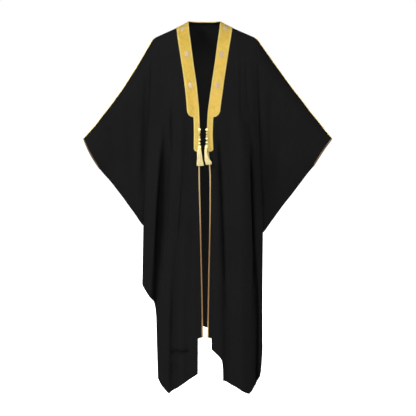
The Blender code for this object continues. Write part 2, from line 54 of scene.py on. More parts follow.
LATTICE_RISE = 0.0003
EDGING_HIGH = 0.0031
EDGING_SHOWN = 0.0052  # width, a little less than its column's
BRAID_HIGH = 0.0017
SLEEVE_BRAID_HIGH = 0.0032

# Band and braid widths
EDGING_WIDTH = 0.0065
BAND_NARROW = 0.023
BAND_WIDE = 0.047
BORDER = 0.006  # width of the band's border braids
LATTICE = 0.0125  # spacing of the lattice between them
SLEEVE_BRAID_WIDTH = 0.0045
CUFF_BRAID_WIDTH = 0.006
PLAIT = 0.0042  # length of one crossing of a plaited braid

# Levels
LOW_SHOULDER = -0.16
BAND_WIDE_END = -0.374
BAND_END = -0.505
EDGING_END = -1.231
SHOULDER_TURN = np.radians(72)
LEVELS = (-0.27, BAND_WIDE_END, -0.44, BAND_END, -0.6, -0.71)
SHOULDER_ROWS = 4
UNDERARM_ROW = SHOULDER_ROWS + len(LEVELS) + 1
NOTCH_ROW = UNDERARM_ROW + 5  # the front edge is cut back between this row and the next
WIDE_CORNER = 0.026  # height of the rounded end of the band's wide part
NARROW_CORNER = 0.013

# Neck
NECK_BACK = 0.055
NECK_RIDGE = -0.0085
NECK_LIFT = 0.0035
NECK_LIFT_REACH = 0.035
NECK_CENTRE = -0.003
NECK_BAND_FALL = 0.0415
NECK_BAND_TURN = np.radians(8)
NECK_WIDE_TURN = np.radians(27)
NECK_OPENING = 3.8
NECK_SPREAD = 0.08
NECK_EASE = np.radians(25)
NECK_CELLS = 6
NECK_PIPING = 0.0036  # diameter
SAME_POINT = 1e-5

# Columns of a front: the trims' widths, then even shares out to its side
TRIM_COLUMNS = (0.0, EDGING_WIDTH, BAND_NARROW, BAND_WIDE)
SIDE_CELLS = 14

# Each side's outline, as distance out from the middle (a) against height (z)
SIDES = {
    "left": {
        "sign": -1.0,
        "edge": ((0.0, 0.064), (-0.045, 0.0605), (-0.157, 0.045), (-0.271, 0.029), (-0.374, 0.0205),
                 (-0.44, 0.0192), (-0.575, 0.0198), (-1.1, 0.0086), (-1.236, 0.007), (-1.5, 0.007)),
        "cut": ((EDGING_END, 0.0), (EDGING_END - 0.0035, 0.02), (-1.5, 0.0215)),
        "shoulder": (0.2005, -0.0692),
        "sleeve_tip": (0.4795, -0.461),
        "cuff_low": (0.42, -0.576),
        "cuff_bow": 0.003,
        "underarm": (0.2465, -0.808),
        "side_hem": (0.253, -1.038),
        "top_sag": 0.024,
        "under_lift": 0.009,
        "shares": (0.0, 0.17, 0.34, 0.5, 0.64, 0.7432, 0.7496, 0.85, 0.92, 1.0),
        "hem": ((0.028, -1.377), (0.085, -1.415), (0.142, -1.462), (0.17, -1.434), (0.189, -1.408),
                (0.195, -1.15), (0.203, -1.104), (0.221, -1.078), (0.253, -1.038)),
    },
    "right": {
        "sign": 1.0,
        "edge": ((0.0, 0.06), (-0.045, 0.055), (-0.157, 0.0388), (-0.271, 0.022), (-0.355, 0.0106),
                 (-0.415, 0.0067), (-0.484, 0.0079), (-0.575, 0.0168), (-0.64, 0.0185), (-0.82, 0.016),
                 (-1.04, 0.0115), (-1.236, 0.0085), (-1.5, 0.0085)),
        "cut": ((EDGING_END, 0.0), (EDGING_END - 0.0035, 0.016), (-1.279, 0.017), (-1.3, 0.04),
                (-1.329, 0.0585), (-1.36, 0.062), (-1.5, 0.0645)),
        "shoulder": (0.2005, -0.0692),
        "sleeve_tip": (0.501, -0.461),
        "cuff_low": (0.4305, -0.567),
        "cuff_bow": -0.0045,
        "underarm": (0.23, -0.837),
        "side_hem": (0.23, -1.284),
        "top_sag": 0.009,
        "under_lift": 0.004,
        "shares": (0.0, 0.23, 0.47, 0.6921, 0.6988, 0.777, 0.815, 0.865, 0.925, 1.0),
        "hem": ((0.073, -1.406), (0.125, -1.432), (0.173, -1.464), (0.186, -1.458), (0.205, -1.442),
                (0.218, -1.411), (0.2215, -1.388), (0.2262, -1.335), (0.23, -1.284)),
    },
}
CUT_FADE = 2.5
CUT_LEAST = 0.06
BACK_HEM = ((-0.253, -1.038), (-0.2, -1.12), (-0.12, -1.2), (0.0, -1.249), (0.12, -1.272),
            (0.23, -1.284))

# Depth of the front and of the back from the shoulder line, against height
FRONT_DEPTH = ((-1.46, 0.124), (-1.2, 0.121), (-0.8, 0.125), (-0.505, 0.128), (-0.374, 0.122),
               (-0.27, 0.112), (LOW_SHOULDER, 0.09))
BACK_DEPTH = ((-1.3, 0.13), (-0.8, 0.115), (-0.505, 0.112), (-0.374, 0.112), (-0.27, 0.105),
              (LOW_SHOULDER, 0.085))
# By panel: its depths, how boxy it is when closed, how far in from its side its folds fade
SWELLS = {"left": (FRONT_DEPTH, 2.2, 0.12), "right": (FRONT_DEPTH, 3.4, 0.12),
          "back": (BACK_DEPTH, 2.6, 0.15)}
FRONT_INNER = 0.012
BOXY_TOP = 2.0
SIDE_POWER = 0.5
ARMHOLE_DEPTH = 0.068
ARMHOLE_FALL = 0.6
CUFF_DEPTH = 0.03
SLEEVE_BULGE = 0.16
SLEEVE_HOLLOW = 0.65

# The largest folds, as the solids have them
FOLD_HEIGHTS = (-0.4, -0.8, -1.2)
FOLD_GROWTH = 0.22
FOLD_MOST = 1.2
# By panel: a at each height, height where it starts, half width, depth there and at the last height
FOLDS = {
    "left": (
        (0.15, 0.177, 0.201, -0.3, 0.014, 0.01, 0.044),
        (0.103, 0.133, 0.146, -0.26, 0.014, -0.009, -0.006),
        (0.075, 0.098, 0.125, -0.5, 0.012, 0.003, 0.008),
        (0.06, 0.07, 0.09, -0.55, 0.018, -0.002, -0.007),
    ),
    "right": (
        (0.172, 0.181, 0.203, -0.34, 0.014, 0.016, 0.034),
        (0.128, 0.13, 0.146, -0.3, 0.022, -0.009, -0.013),
        (0.05, 0.067, 0.084, -0.34, 0.013, 0.006, 0.011),
    ),
    "back": (
        (-0.15, -0.165, -0.185, -0.3, 0.022, 0.006, 0.022),
        (-0.06, -0.07, -0.08, -0.35, 0.024, 0.004, 0.014),
        (0.055, 0.06, 0.066, -0.35, 0.022, 0.004, 0.014),
        (0.14, 0.155, 0.172, -0.3, 0.02, 0.006, 0.022),
    ),
}

# The smaller creases, each a soft line, pressed in or, with a negative depth, standing out.
# By panel: x and z at start, at the middle and at the end, half width, depth, 1 if sharp to 2 if soft
CREASES = {
    "front_left": (
        (-0.125, -0.27, -0.141, -0.6, -0.158, -0.98, 0.006, 0.014, 1.4),
        (-0.134, -0.4, -0.166, -0.7, -0.186, -1.06, 0.012, 0.018, 2.0),
        (-0.083, -0.27, -0.097, -0.6, -0.12, -0.98, 0.02, -0.014, 2.0),
        (-0.128, -0.94, -0.127, -1.12, -0.13, -1.3, 0.004, 0.0022, 1.2),
        (-0.092, -0.96, -0.093, -1.09, -0.094, -1.2, 0.009, -0.002, 2.0),
        (-0.138, -1.296, -0.094, -1.2905, -0.05, -1.285, 0.0078, 0.0175, 1.6),
        (-0.104, -1.3, -0.104, -1.336, -0.105, -1.38, 0.006, -0.0055, 1.8),
        (-0.17, -0.15, -0.172, -0.24, -0.166, -0.42, 0.006, 0.0028, 1.6),
        (-0.145, -0.12, -0.146, -0.22, -0.142, -0.33, 0.006, 0.0022, 2.0),
        (-0.045, -0.62, -0.048, -0.9, -0.05, -1.3, 0.008, 0.0012, 2.0),
        (-0.195, -0.7, -0.205, -0.85, -0.214, -1.02, 0.006, 0.002, 1.5),
    ),
    "front_right": (
        (0.05, -0.4, 0.0655, -0.72, 0.082, -1.24, 0.005, 0.015, 1.2),
        (0.141, -0.33, 0.15, -0.7, 0.168, -1.18, 0.033, -0.017, 2.0),
        (0.172, -0.42, 0.1805, -0.78, 0.204, -1.23, 0.006, 0.016, 1.4),
        (0.114, -0.11, 0.115, -0.25, 0.116, -0.42, 0.004, 0.002, 1.6),
        (0.137, -0.11, 0.138, -0.25, 0.139, -0.42, 0.004, 0.002, 1.6),
        (0.098, -0.85, 0.104, -1.05, 0.112, -1.36, 0.008, 0.0018, 2.0),
        (0.16, -0.15, 0.164, -0.24, 0.172, -0.38, 0.008, 0.0032, 2.0),
        (0.03, -0.7, 0.032, -0.95, 0.036, -1.2, 0.006, 0.0012, 2.0),
    ),
    "sleeve_left": (
        (-0.262, -0.2, -0.258, -0.4, -0.262, -0.64, 0.02, -0.004, 2.0),
        (-0.228, -0.2, -0.23, -0.4, -0.25, -0.72, 0.012, 0.006, 2.0),
        (-0.33, -0.32, -0.322, -0.45, -0.31, -0.64, 0.018, -0.003, 2.0),
        (-0.372, -0.38, -0.36, -0.48, -0.345, -0.6, 0.012, 0.0022, 2.0),
    ),
    "sleeve_right": (
        (0.256, -0.22, 0.262, -0.44, 0.256, -0.68, 0.022, 0.015, 2.0),
        (0.345, -0.36, 0.343, -0.48, 0.335, -0.62, 0.024, -0.004, 2.0),
        (0.29, -0.26, 0.284, -0.42, 0.27, -0.7, 0.014, 0.0025, 2.0),
        (0.222, -0.64, 0.226, -0.69, 0.231, -0.74, 0.004, 0.002, 1.5),
    ),
    "back": (
        (-0.115, -0.18, -0.108, -0.5, -0.118, -1.18, 0.012, 0.0045, 1.8),
        (-0.025, -0.26, -0.03, -0.65, -0.034, -1.22, 0.01, 0.0035, 1.8),
        (0.02, -0.16, 0.012, -0.48, 0.02, -1.0, 0.014, -0.0035, 2.0),
        (0.1, -0.2, 0.104, -0.6, 0.112, -1.25, 0.011, 0.0045, 1.7),
        (-0.19, -0.3, -0.205, -0.7, -0.222, -1.06, 0.009, 0.004, 1.6),
        (0.18, -0.3, 0.192, -0.7, 0.205, -1.27, 0.009, 0.004, 1.6),
    ),
}
CREASE_STEPS = 16  # straight pieces that a crease's line is followed in
CREASE_FADE = 0.3  # it fades in and out over this share of its length
SEAM_PRESS = 0.0022  # how far the cloth dips along a seam
SEAM_REACH = 0.0055  # half width of that dip
RIPPLE = 0.0044  # height of the cloth's faint uneven hang
RIPPLE_START = (-0.02, -0.3)  # it grows between these heights
RIPPLE_CALM = (0.2, 0.3)  # it calms down between these places out along the sleeves, by
RIPPLE_CALMED = 0.6
RIPPLE_SCALE = (26.0, 9.0, 1.8)  # how often it varies along X, Y and Z in a metre

# Cuts of the shells: columns in each of a front's cells, rows below each key row
TRIM_CUTS = (6, 6, 6)
SIDE_CUTS = 5
NECK_CUTS = 5
ROW_CUTS = (8, 8, 8, 8, 18, 17, 11, 11, 16, 18, 18, 19, 19, 19, 14, 11, 5, 9, 8, 9)
SLEEVE_RINGS = 78
CUFF_RINGS = 3

# Height and half width of each bead; height, sideways place and half width of each tassel's ring
BEADS = {
    "left": (-0.0204, ((-0.4207, 0.0048), (-0.4312, 0.0034), (-0.4492, 0.0028),
                       (-0.459, 0.004), (-0.473, 0.0036))),
    "right": (0.0064, ((-0.421, 0.0048), (-0.434, 0.0034), (-0.4452, 0.0028),
                       (-0.455, 0.004), (-0.4697, 0.0036))),
}
STRING_RADIUS = 0.0009
STRING_END = -0.508  # the string runs on into its tassel
DARK_BEADS = (1, 2)  # which beads of a string are of the darker thread
TASSELS = {
    "left": ((-0.48, -0.02, 0.0018), (-0.483, -0.02, 0.003), (-0.489, -0.0206, 0.0052),
             (-0.4985, -0.0212, 0.0078), (-0.508, -0.0216, 0.0096), (-0.529, -0.0196, 0.0106),
             (-0.549, -0.018, 0.0134), (-0.558, -0.0178, 0.0144)),
    "right": ((-0.4775, 0.0062, 0.0018), (-0.4805, 0.006, 0.003), (-0.489, 0.0046, 0.0048),
              (-0.502, 0.0036, 0.0058), (-0.524, 0.0052, 0.0074), (-0.537, 0.0098, 0.0114),
              (-0.545, 0.0148, 0.014), (-0.553, 0.0142, 0.0118)),
}
TASSEL_DEPTH = 0.006
THREADS = 130
THREAD_RADIUS = 0.00055
GOLDEN_SHARE = 0.618034  # turn from one thread of a tassel to the next

# Medallions: height of each centre, its distance from the edge, half width, half height
MEDALLIONS = ((-0.024, 0.0235, 0.0088, 0.0088), (-0.133, 0.0205, 0.0086, 0.0135),
              (-0.254, 0.0235, 0.0085, 0.0125))

# The photograph's viewpoint
CAMERA_PLACE = (0.0117, -3.6, -0.35)
CAMERA_DOWN = np.radians(6.104)
CAMERA_LENS = 78.69

# The floor, and the lights' places and strengths
FLOOR = -1.53
FLOOR_HALF = 40.0
FLOOR_GLOW = 0.42
LIT_PLACE = (0.0, 0.0, -0.65)
# Place, size and power of each light, and whether it makes the garment shine
LAMPS = {
    "key": ((-2.4, -2.2, 1.6), 1.0, 194.0, True),
    "fill": ((2.7, -1.8, 1.35), 1.2, 84.0, True),
    "front": ((0.0, -2.7, 1.2), 1.0, 21.0, False),
    "back": ((-1.6, 3.4, 1.3), 1.5, 180.0, False),
}
# The small lamp in the cloak's hollow
INSIDE_PLACE = (0.0, -0.03, -0.68)
INSIDE_SIZE = (0.16, 1.15)
INSIDE_POWER = 1.45
ABOVE_PLACE = (-0.1, -0.1, 1.0)
ABOVE_ANGLE = np.radians(60)
ABOVE_STRENGTH = 1.5
ROOM_LIGHT = 0.25

# Embroidered bands: points across, and how their edges and lattice are rounded
BAND_POINTS = 41
BAND_EDGE = 0.35
BAND_EDGE_WIDTH = 0.0009
LATTICE_LINE = 0.35

# Length of one stitch, and of one thread of the cloth and of the braids
STITCH = 0.0011
WORSTED_THREAD = 0.0009
BRAID_THREAD = 0.0008

# Rosettes: petals, dome, and the place, width and rise of their inner ring
ROSETTE_PETALS = 8
PETAL_REACH = 0.07
PETAL_RISE = 0.00035
ROSETTE_DOME = 0.0009
ROSETTE_RING = (0.45, 0.08, 0.0004)

# Braids and piping: how they are domed, slanted and twisted
BRAID_DOME = 0.92
STRAND_SLANT = 1.4
STRAND_DEPTH = 0.2
CUFF_DOME = 0.9
PIPING_START = 0.3
PIPING_SUNK = 0.0003
PIPING_SHOWN = 0.92
TWIST = 0.1

# Beads and threads
BEAD_FLATNESS = 0.92
THREAD_REACH = 0.94
THREAD_ENDS = (-0.0012, 0.0016)
THREAD_WAVE = 0.0006
WINDING_RADIUS = 0.0009
WOUND = (300.0, 300.0, 1800.0)  # how finely a wound thread varies along X, Y and Z


def table(rows, at):
    """The value of a two-column table at a place, straight between its rows."""
    places, values = zip(*sorted(rows))
    return np.interp(at, places, values)


def smooth(low, high, at):
    """0 at or below low, 1 at or above high, eased in between."""
    share = np.clip((at - low) / (high - low), 0.0, 1.0)
    return share * share * (3 - 2 * share)


def unit(vectors):
    """Vectors at a length of one."""
    return vectors / np.maximum(np.linalg.norm(vectors, axis=-1, keepdims=True), 1e-12)


def stacked(*values):
    """Arrays side by side, as the parts of points."""
    return np.stack(np.broadcast_arrays(*values), axis=-1)


def circle(sides):
    """Angles around a circle."""
    return 2 * np.pi * np.arange(sides) / sides


def cut_up(cuts):
    """Places along a row of cells, each cut into its number of steps."""
    return np.concatenate([np.arange(cut) / cut + cell for cell, cut in enumerate(cuts)] + [[len(cuts)]])


KEY_ROWS = UNDERARM_ROW + len(SIDES["left"]["shares"])
COLUMNS = cut_up(TRIM_CUTS + (SIDE_CUTS,) * SIDE_CELLS)
ROWS = cut_up(ROW_CUTS)
UNDERARM = sum(ROW_CUTS[:UNDERARM_ROW])


def armhole_depth(side, z):
    """Half depth of the armhole at a height."""
    low = side["underarm"][1]
    return ARMHOLE_DEPTH * np.clip((z - low) / (LOW_SHOULDER - low), 0.0, 1.0) ** ARMHOLE_FALL


def side_place(side, z):
    """Distance out of the armhole line or side seam at a height."""
    return table([side[corner][::-1] for corner in ("shoulder", "underarm", "side_hem")], z)


def ridge(side, a):
    """Height of the shoulder line at a distance out from the middle."""
    (end, low), start = side["shoulder"], side["edge"][0][1]
    lift = NECK_LIFT * np.clip(1 - (a - start) / NECK_LIFT_REACH, 0.0, None) ** 2
    return NECK_RIDGE + (low - NECK_RIDGE) * (a - start) / (end - start) + lift


def fallen(top, turn):
    """Height below a top on the shoulder line, at a turn over the shoulder's rounding."""
    return top + (LOW_SHOULDER - top) * ((1 - np.cos(turn)) / (1 - np.cos(SHOULDER_TURN)))


def level(side, row, hem, top=0.0):
    """Height of a row where the cloth ends at a hem and begins at a top."""
    if row < SHOULDER_ROWS:
        return fallen(top, SHOULDER_TURN * row / SHOULDER_ROWS)
    under = side["underarm"][1]
    shares = (under + (hem - under) * share for share in side["shares"])
    return (LOW_SHOULDER, *LEVELS, *shares)[row - SHOULDER_ROWS]


def openness(row):
    """0 on the shoulder, 1 from the underarm down, where the body closes."""
    return smooth(SHOULDER_ROWS, UNDERARM_ROW, row)


def eased(share, closing):
    """Shares across a panel, closer together towards its side where it closes."""
    return share + (np.sin(share * np.pi / 2) - share) * closing


def body_depth(panel, a, z, across, armhole, closing):
    """Depth of a panel: rounded off towards its side, less its largest folds."""
    depths, boxy, fade = SWELLS[panel]
    round_off = (1 - across ** (BOXY_TOP + (boxy - BOXY_TOP) * closing)) ** (1 - SIDE_POWER * closing)
    folds = np.zeros(a.shape)
    for *places, start, half, first, last in FOLDS[panel]:
        path = table(zip(FOLD_HEIGHTS, places), z)
        share = np.clip((start - z) / (start - FOLD_HEIGHTS[-1]), 0.0, FOLD_MOST)
        depth = smooth(0.0, FOLD_GROWTH, start - z) * (first + (last - first) * share)
        folds += depth * np.exp(-((a - path) / half) ** 2)
    return armhole + (table(depths, z) - armhole) * round_off - folds * smooth(0.0, fade, 1 - across)


def front_keys(name):
    """Key rows of a front: from shoulder to hem, and from its open edge outwards."""
    side = SIDES[name]
    beside = np.interp(COLUMNS, range(len(TRIM_COLUMNS)), TRIM_COLUMNS)
    even = np.clip((COLUMNS - len(TRIM_CUTS)) / SIDE_CELLS, 0.0, 1.0)
    keys = []
    for row in range(KEY_ROWS):
        closing = openness(row)
        turn = SHOULDER_TURN * min(1.0, row / SHOULDER_ROWS)
        edge_z = level(side, row, side["hem"][0][1], NECK_RIDGE)
        out_z = level(side, row, side["side_hem"][1], side["shoulder"][1])
        edge = table(side["edge"], edge_z) if row else side["edge"][0][1]
        out = side_place(side, out_z)
        a = edge + beside
        a = a + (out - a) * eased(even, closing)
        cut = table(side["cut"], edge_z)
        a = a + cut * np.clip(1 - (a - edge) / max(CUT_LEAST, CUT_FADE * cut), 0.0, None) ** 2
        z = level(side, row, table(side["hem"], a), ridge(side, a))
        across = np.clip((a - FRONT_INNER) / (out - FRONT_INNER), 0.0, 1.0)
        armhole = armhole_depth(side, out_z) if row < UNDERARM_ROW else 0.0
        depth = body_depth(name, a, z, across, armhole, closing)
        keys.append(stacked(side["sign"] * a, -depth * np.sin(turn) / np.sin(SHOULDER_TURN), z))
    return np.array(keys)


def band_edge_turn(side, a, top):
    """Turn over the shoulder at which the neck band ends, and beyond it the back's second row."""
    reach = side["edge"][0][1] + BAND_WIDE
    if a > reach + SAME_POINT:
        return min(NECK_WIDE_TURN, NECK_BAND_TURN + (a - reach) * NECK_OPENING)
    end = ridge(side, reach)
    line = end + (NECK_CENTRE - NECK_BAND_FALL - end) * np.sqrt(max(0.0, 1 - (a / reach) ** 2))
    drop = max(0.0, top - line) / (top - LOW_SHOULDER)
    return max(NECK_BAND_TURN, np.arccos(1 - drop * (1 - np.cos(SHOULDER_TURN))))


def back_top(side, start):
    """Points of the back from one on its top edge down over the shoulder."""
    a = abs(start[0])
    second = band_edge_turn(side, a, start[2])
    turn = np.array((0.0, second / 2, second, (second + SHOULDER_TURN) / 2, SHOULDER_TURN))
    out = side_place(side, LOW_SHOULDER)
    depth = ARMHOLE_DEPTH + (table(BACK_DEPTH, LOW_SHOULDER) - ARMHOLE_DEPTH) * (1 - (a / out) ** 2)
    beside = min(1.0, a / (side["edge"][0][1] + NECK_SPREAD))
    drawn = NECK_BACK * (1 + np.cos(np.pi * beside)) / 2
    begin = start[1] + (drawn - start[1]) * smooth(0.0, NECK_EASE, turn)
    depth = begin + (depth - begin) * np.sin(turn) / np.sin(SHOULDER_TURN)
    return stacked(start[0], depth, fallen(start[2], turn))


def neck_line(cells):
    """The back neckline from left to right, at places counted in cells."""
    half = NECK_CELLS / 2
    angle = np.pi / 2 * np.abs(1 - cells / half)
    reach = np.where(cells < half, -SIDES["left"]["edge"][0][1], SIDES["right"]["edge"][0][1])
    top = NECK_RIDGE + NECK_LIFT
    rise = top + (NECK_CENTRE - top) * np.cos(angle)
    return stacked(reach * np.sin(angle), NECK_BACK * np.cos(angle), rise)


def back_keys(left_top, right_top):
    """Key rows of the back: from its top to its hem, and from left to right."""
    sides = SIDES.values()
    neck_cells = np.arange(1, NECK_CELLS * NECK_CUTS) / NECK_CUTS
    top = np.concatenate((left_top[::-1], neck_line(neck_cells), right_top))
    last = COLUMNS[-1]
    places = np.concatenate((last - COLUMNS[::-1], last + neck_cells, last + NECK_CELLS + COLUMNS))
    sideways = 2 * places / places[-1] - 1
    keys = np.zeros((KEY_ROWS, len(top), 3))
    for column, start in enumerate(top):
        side = SIDES["left" if sideways[column] < 0 else "right"]
        keys[:SHOULDER_ROWS + 1, column] = back_top(side, start)
    for row in range(SHOULDER_ROWS + 1, KEY_ROWS):
        closing = openness(row)
        left, right = (side["sign"] * side_place(side, level(side, row, side["side_hem"][1]))
                       for side in sides)
        even = left + (right - left) * (eased(sideways, closing) + 1) / 2
        own = top[:, 0] * np.where(top[:, 0] < 0, left / top[0, 0], right / top[-1, 0])
        x = own + (even - own) * smooth(SHOULDER_ROWS, UNDERARM_ROW - 1, row)
        mix = np.clip((x - left) / (right - left), 0.0, 1.0)
        near, far = (level(side, row, table(BACK_HEM, x)) for side in sides)
        z = near + (far - near) * mix
        armhole = 0.0
        if row < UNDERARM_ROW:
            armhole = np.where(mix < 0.5, *(armhole_depth(side, z) for side in sides))
        keys[row] = stacked(x, body_depth("back", x, z, abs(2 * mix - 1), armhole, closing), z)
    return keys


def refine(keys):
    """Rows between the key rows, on a curve that never swings past them."""
    step = np.linalg.norm(np.diff(keys, axis=0), axis=2)[..., None]
    slope = np.diff(keys, axis=0) / step
    before, after = slope[:-1], slope[1:]
    first, second = 2 * step[1:] + step[:-1], step[1:] + 2 * step[:-1]
    agree = before * after > 0
    inner = (first + second) * before * after / np.where(agree, first * after + second * before, 1.0)
    tangent = np.concatenate((slope[:1], inner * agree, slope[-1:]))
    rows = []
    for row, cuts in enumerate(ROW_CUTS):
        for t in np.arange(cuts) / cuts:
            ease = t if row == NOTCH_ROW else (3 - 2 * t) * t ** 2
            bend = ((1 - t) ** 2 * tangent[row] - (1 - t) * t * tangent[row + 1]) * t * step[row]
            rows.append(keys[row] + (keys[row + 1] - keys[row]) * ease + bend * (row != NOTCH_ROW))
    return np.array(rows + [keys[-1]])


def sleeve_grid(name, front, back):
    """Rings of a sleeve, from the armhole out to the cuff."""
    side = SIDES[name]
    back_column = back[:, 0 if name == "left" else -1]
    armhole = np.concatenate((front[:UNDERARM + 1, -1], back_column[UNDERARM - 1:0:-1]))
    turns = np.concatenate((ROWS[:UNDERARM + 1], 2 * UNDERARM_ROW - ROWS[UNDERARM - 1:0:-1]))
    angle = np.pi * turns / UNDERARM_ROW
    weight = (1 - np.cos(angle)) / 2
    (tip, high), (end, low) = side["sleeve_tip"], side["cuff_low"]
    x = tip + (end - tip) * weight + side["cuff_bow"] * 4 * weight * (1 - weight)
    cuff = stacked(side["sign"] * x, -CUFF_DEPTH * np.sin(angle), high + (low - high) * weight)
    braid = 1 - CUFF_BRAID_WIDTH / np.linalg.norm(cuff - armhole, axis=1)
    rings = [braid * part for part in np.arange(SLEEVE_RINGS + 1) / SLEEVE_RINGS]
    rings += [braid + (1 - braid) * part for part in np.arange(1, CUFF_RINGS + 1) / CUFF_RINGS]
    grid = []
    for share in rings:
        bow = 4 * share * (1 - share)
        ring = armhole + (cuff - armhole) * share[:, None]
        ring[:, 1] = armhole[:, 1] + (cuff - armhole)[:, 1] * share ** SLEEVE_HOLLOW
        ring[:, 2] += bow * (side["under_lift"] * weight - side["top_sag"] * (1 - weight))
        ring[:, 1] *= 1 + bow * SLEEVE_BULGE
        grid.append(ring)
    return np.array(grid)


def crease(x, z, *values):
    """How far a crease through three points presses in the places (x, z)."""
    *places, half, depth, power = values
    start, middle, end = np.reshape(places, (3, 2))
    bend = 2 * middle - (start + end) / 2
    t = np.linspace(0, 1, CREASE_STEPS + 1)[:, None]
    line = (1 - t) ** 2 * start + 2 * t * (1 - t) * bend + t ** 2 * end
    nearest = np.full(x.shape, np.inf)
    along = np.zeros(x.shape)
    for step, (here, run) in enumerate(zip(line, np.diff(line, axis=0))):
        share = np.clip(((x - here[0]) * run[0] + (z - here[1]) * run[1]) / (run @ run), 0.0, 1.0)
        gap = np.hypot(x - here[0] - share * run[0], z - here[1] - share * run[1])
        along = np.where(gap < nearest, (step + share) / CREASE_STEPS, along)
        nearest = np.minimum(gap, nearest)
    ends = smooth(0.0, CREASE_FADE, along) * smooth(0.0, CREASE_FADE, 1 - along)
    return depth * ends * np.exp(-(nearest / half) ** power)


def rough_normals(points, closed, outward):
    """Normals of a grid. outward is 1 or -1, whichever makes them point out."""
    across = np.gradient(points, axis=1)
    if closed:
        across = (np.roll(points, -1, axis=1) - np.roll(points, 1, axis=1)) / 2
    return outward * unit(np.cross(across, np.gradient(points, axis=0)))


def shared_normals(panels):
    """Normals of every panel's grid, with one normal where panels meet at a seam."""
    found = {name: rough_normals(*panel) for name, panel in panels.items()}
    met = {}
    for name, (points, _, _) in panels.items():
        keys = np.round(points.reshape(-1, 3) / SAME_POINT).astype(int).tolist()
        for place, key in zip(np.ndindex(points.shape[:2]), keys):
            met.setdefault(tuple(key), []).append((name, place))
    for places in met.values():
        shared = unit(sum(found[name][place] for name, place in places))
        for name, place in places:
            found[name][place] = shared
    return found


def lengths(points):
    """Distance run across and down a grid, as flat places for its weave."""
    across = np.cumsum(np.linalg.norm(np.diff(points, axis=1, prepend=points[:, :1]), axis=2), axis=1)
    down = np.cumsum(np.linalg.norm(np.diff(points, axis=0, prepend=points[:1]), axis=2), axis=0)
    return stacked(across, down)


def seam_dip(points, name):
    """How far the cloth dips beside its seams."""
    run, gap = np.moveaxis(lengths(points), -1, 0)
    if not name.startswith("sleeve"):
        gap = run[:, -1:] - run
    if name == "back":
        gap = np.minimum(gap, run)
    return SEAM_PRESS * np.exp(-(gap / SEAM_REACH) ** 2)


def press(panels):
    """Presses creases, seams and a faint uneven hang into the panels."""
    normals = shared_normals(panels)
    pressed = {}
    for name, (points, closed, outward) in panels.items():
        x, z = points[..., 0], points[..., 2]
        depth = seam_dip(points, name) + sum(crease(x, z, *values) for values in CREASES[name])
        hang = [noise.noise(Vector(place)) for place in (points * RIPPLE_SCALE).reshape(-1, 3)]
        calm = 1 - RIPPLE_CALMED * smooth(*RIPPLE_CALM, abs(x))
        depth += RIPPLE * calm * np.reshape(hang, x.shape) * smooth(*RIPPLE_START, z)
        pressed[name] = (points - normals[name] * depth[..., None], closed, outward)
    return pressed


def grid_faces(rows, columns, closed):
    """Quads of a grid."""
    row, column = np.meshgrid(np.arange(rows - 1), np.arange(columns - 1 + closed), indexing="ij")
    a = row * columns + column
    b = row * columns + (column + 1) % columns
    return stacked(a, b, b + columns, a + columns).reshape(-1, 4)


def placed(data):
    """An object in the scene, of some data and with its name."""
    made = bpy.data.objects.new(data.name, data)
    bpy.context.scene.collection.objects.link(made)
    return made


def make_piece(name, points, faces, **maps):
    """A mesh object. Each map holds a flat place for every point."""
    mesh = bpy.data.meshes.new(name)
    mesh.from_pydata(points.tolist(), [], [tuple(face) for face in faces])
    corners = np.zeros(len(mesh.loops), dtype=np.int32)
    mesh.loops.foreach_get("vertex_index", corners)
    for layer, values in maps.items():
        mesh.uv_layers.new(name=layer).data.foreach_set("uv", values[corners].astype(np.float32).ravel())
    mesh.validate()
    mesh.shade_smooth()
    return placed(mesh)


def shell(name, points, normals, low, high, closed=False, turned=False, **maps):
    """A thin closed body between two heights over a grid."""
    faces = grid_faces(*points.shape[:2], closed)
    if turned:
        faces = faces[:, ::-1]
    outer, inner = (points + normals * np.broadcast_to(height, points.shape[:2])[..., None]
                    for height in (high, low))
    places = np.concatenate((outer.reshape(-1, 3), inner.reshape(-1, 3)))
    count = len(places) // 2
    edges = dict.fromkeys(edge for face in faces.tolist() for edge in zip(face, face[1:] + face[:1]))
    rims = [(end, start, start + count, end + count) for start, end in edges if (end, start) not in edges]
    faces = faces.tolist() + (faces[:, ::-1] + count).tolist() + rims
    maps = {layer: np.tile(values.reshape(-1, 2), (2, 1)) for layer, values in maps.items()}
    return make_piece(name, places, faces, **maps)


def sample(grid, rows, columns):
    """Values of a grid between its points, on a smooth curve both ways."""
    def along(values, at):
        at = np.clip(at, 0, len(values) - 1)
        low = np.minimum(at.astype(int), len(values) - 2)
        t = (at - low).reshape((-1,) + (1,) * (values.ndim - 1))
        before, near, far, after = (values[np.clip(low + way, 0, len(values) - 1)] for way in (-1, 0, 1, 2))
        cubic = 3 * (near - far) + after - before
        return near + t / 2 * ((far - before) + t * (2 * before - 5 * near + 4 * far - after + t * cubic))
    lines = along(grid, np.array(rows, dtype=float))
    columns = np.broadcast_to(np.array(columns, dtype=float), (len(lines), np.shape(columns)[-1]))
    return np.stack([along(line, places) for line, places in zip(lines, columns)])


def surface(panel, rows, columns):
    """Points and normals of a panel at places between its grid's points."""
    return sample(panel[0], rows, columns), unit(sample(panel[1], rows, columns))


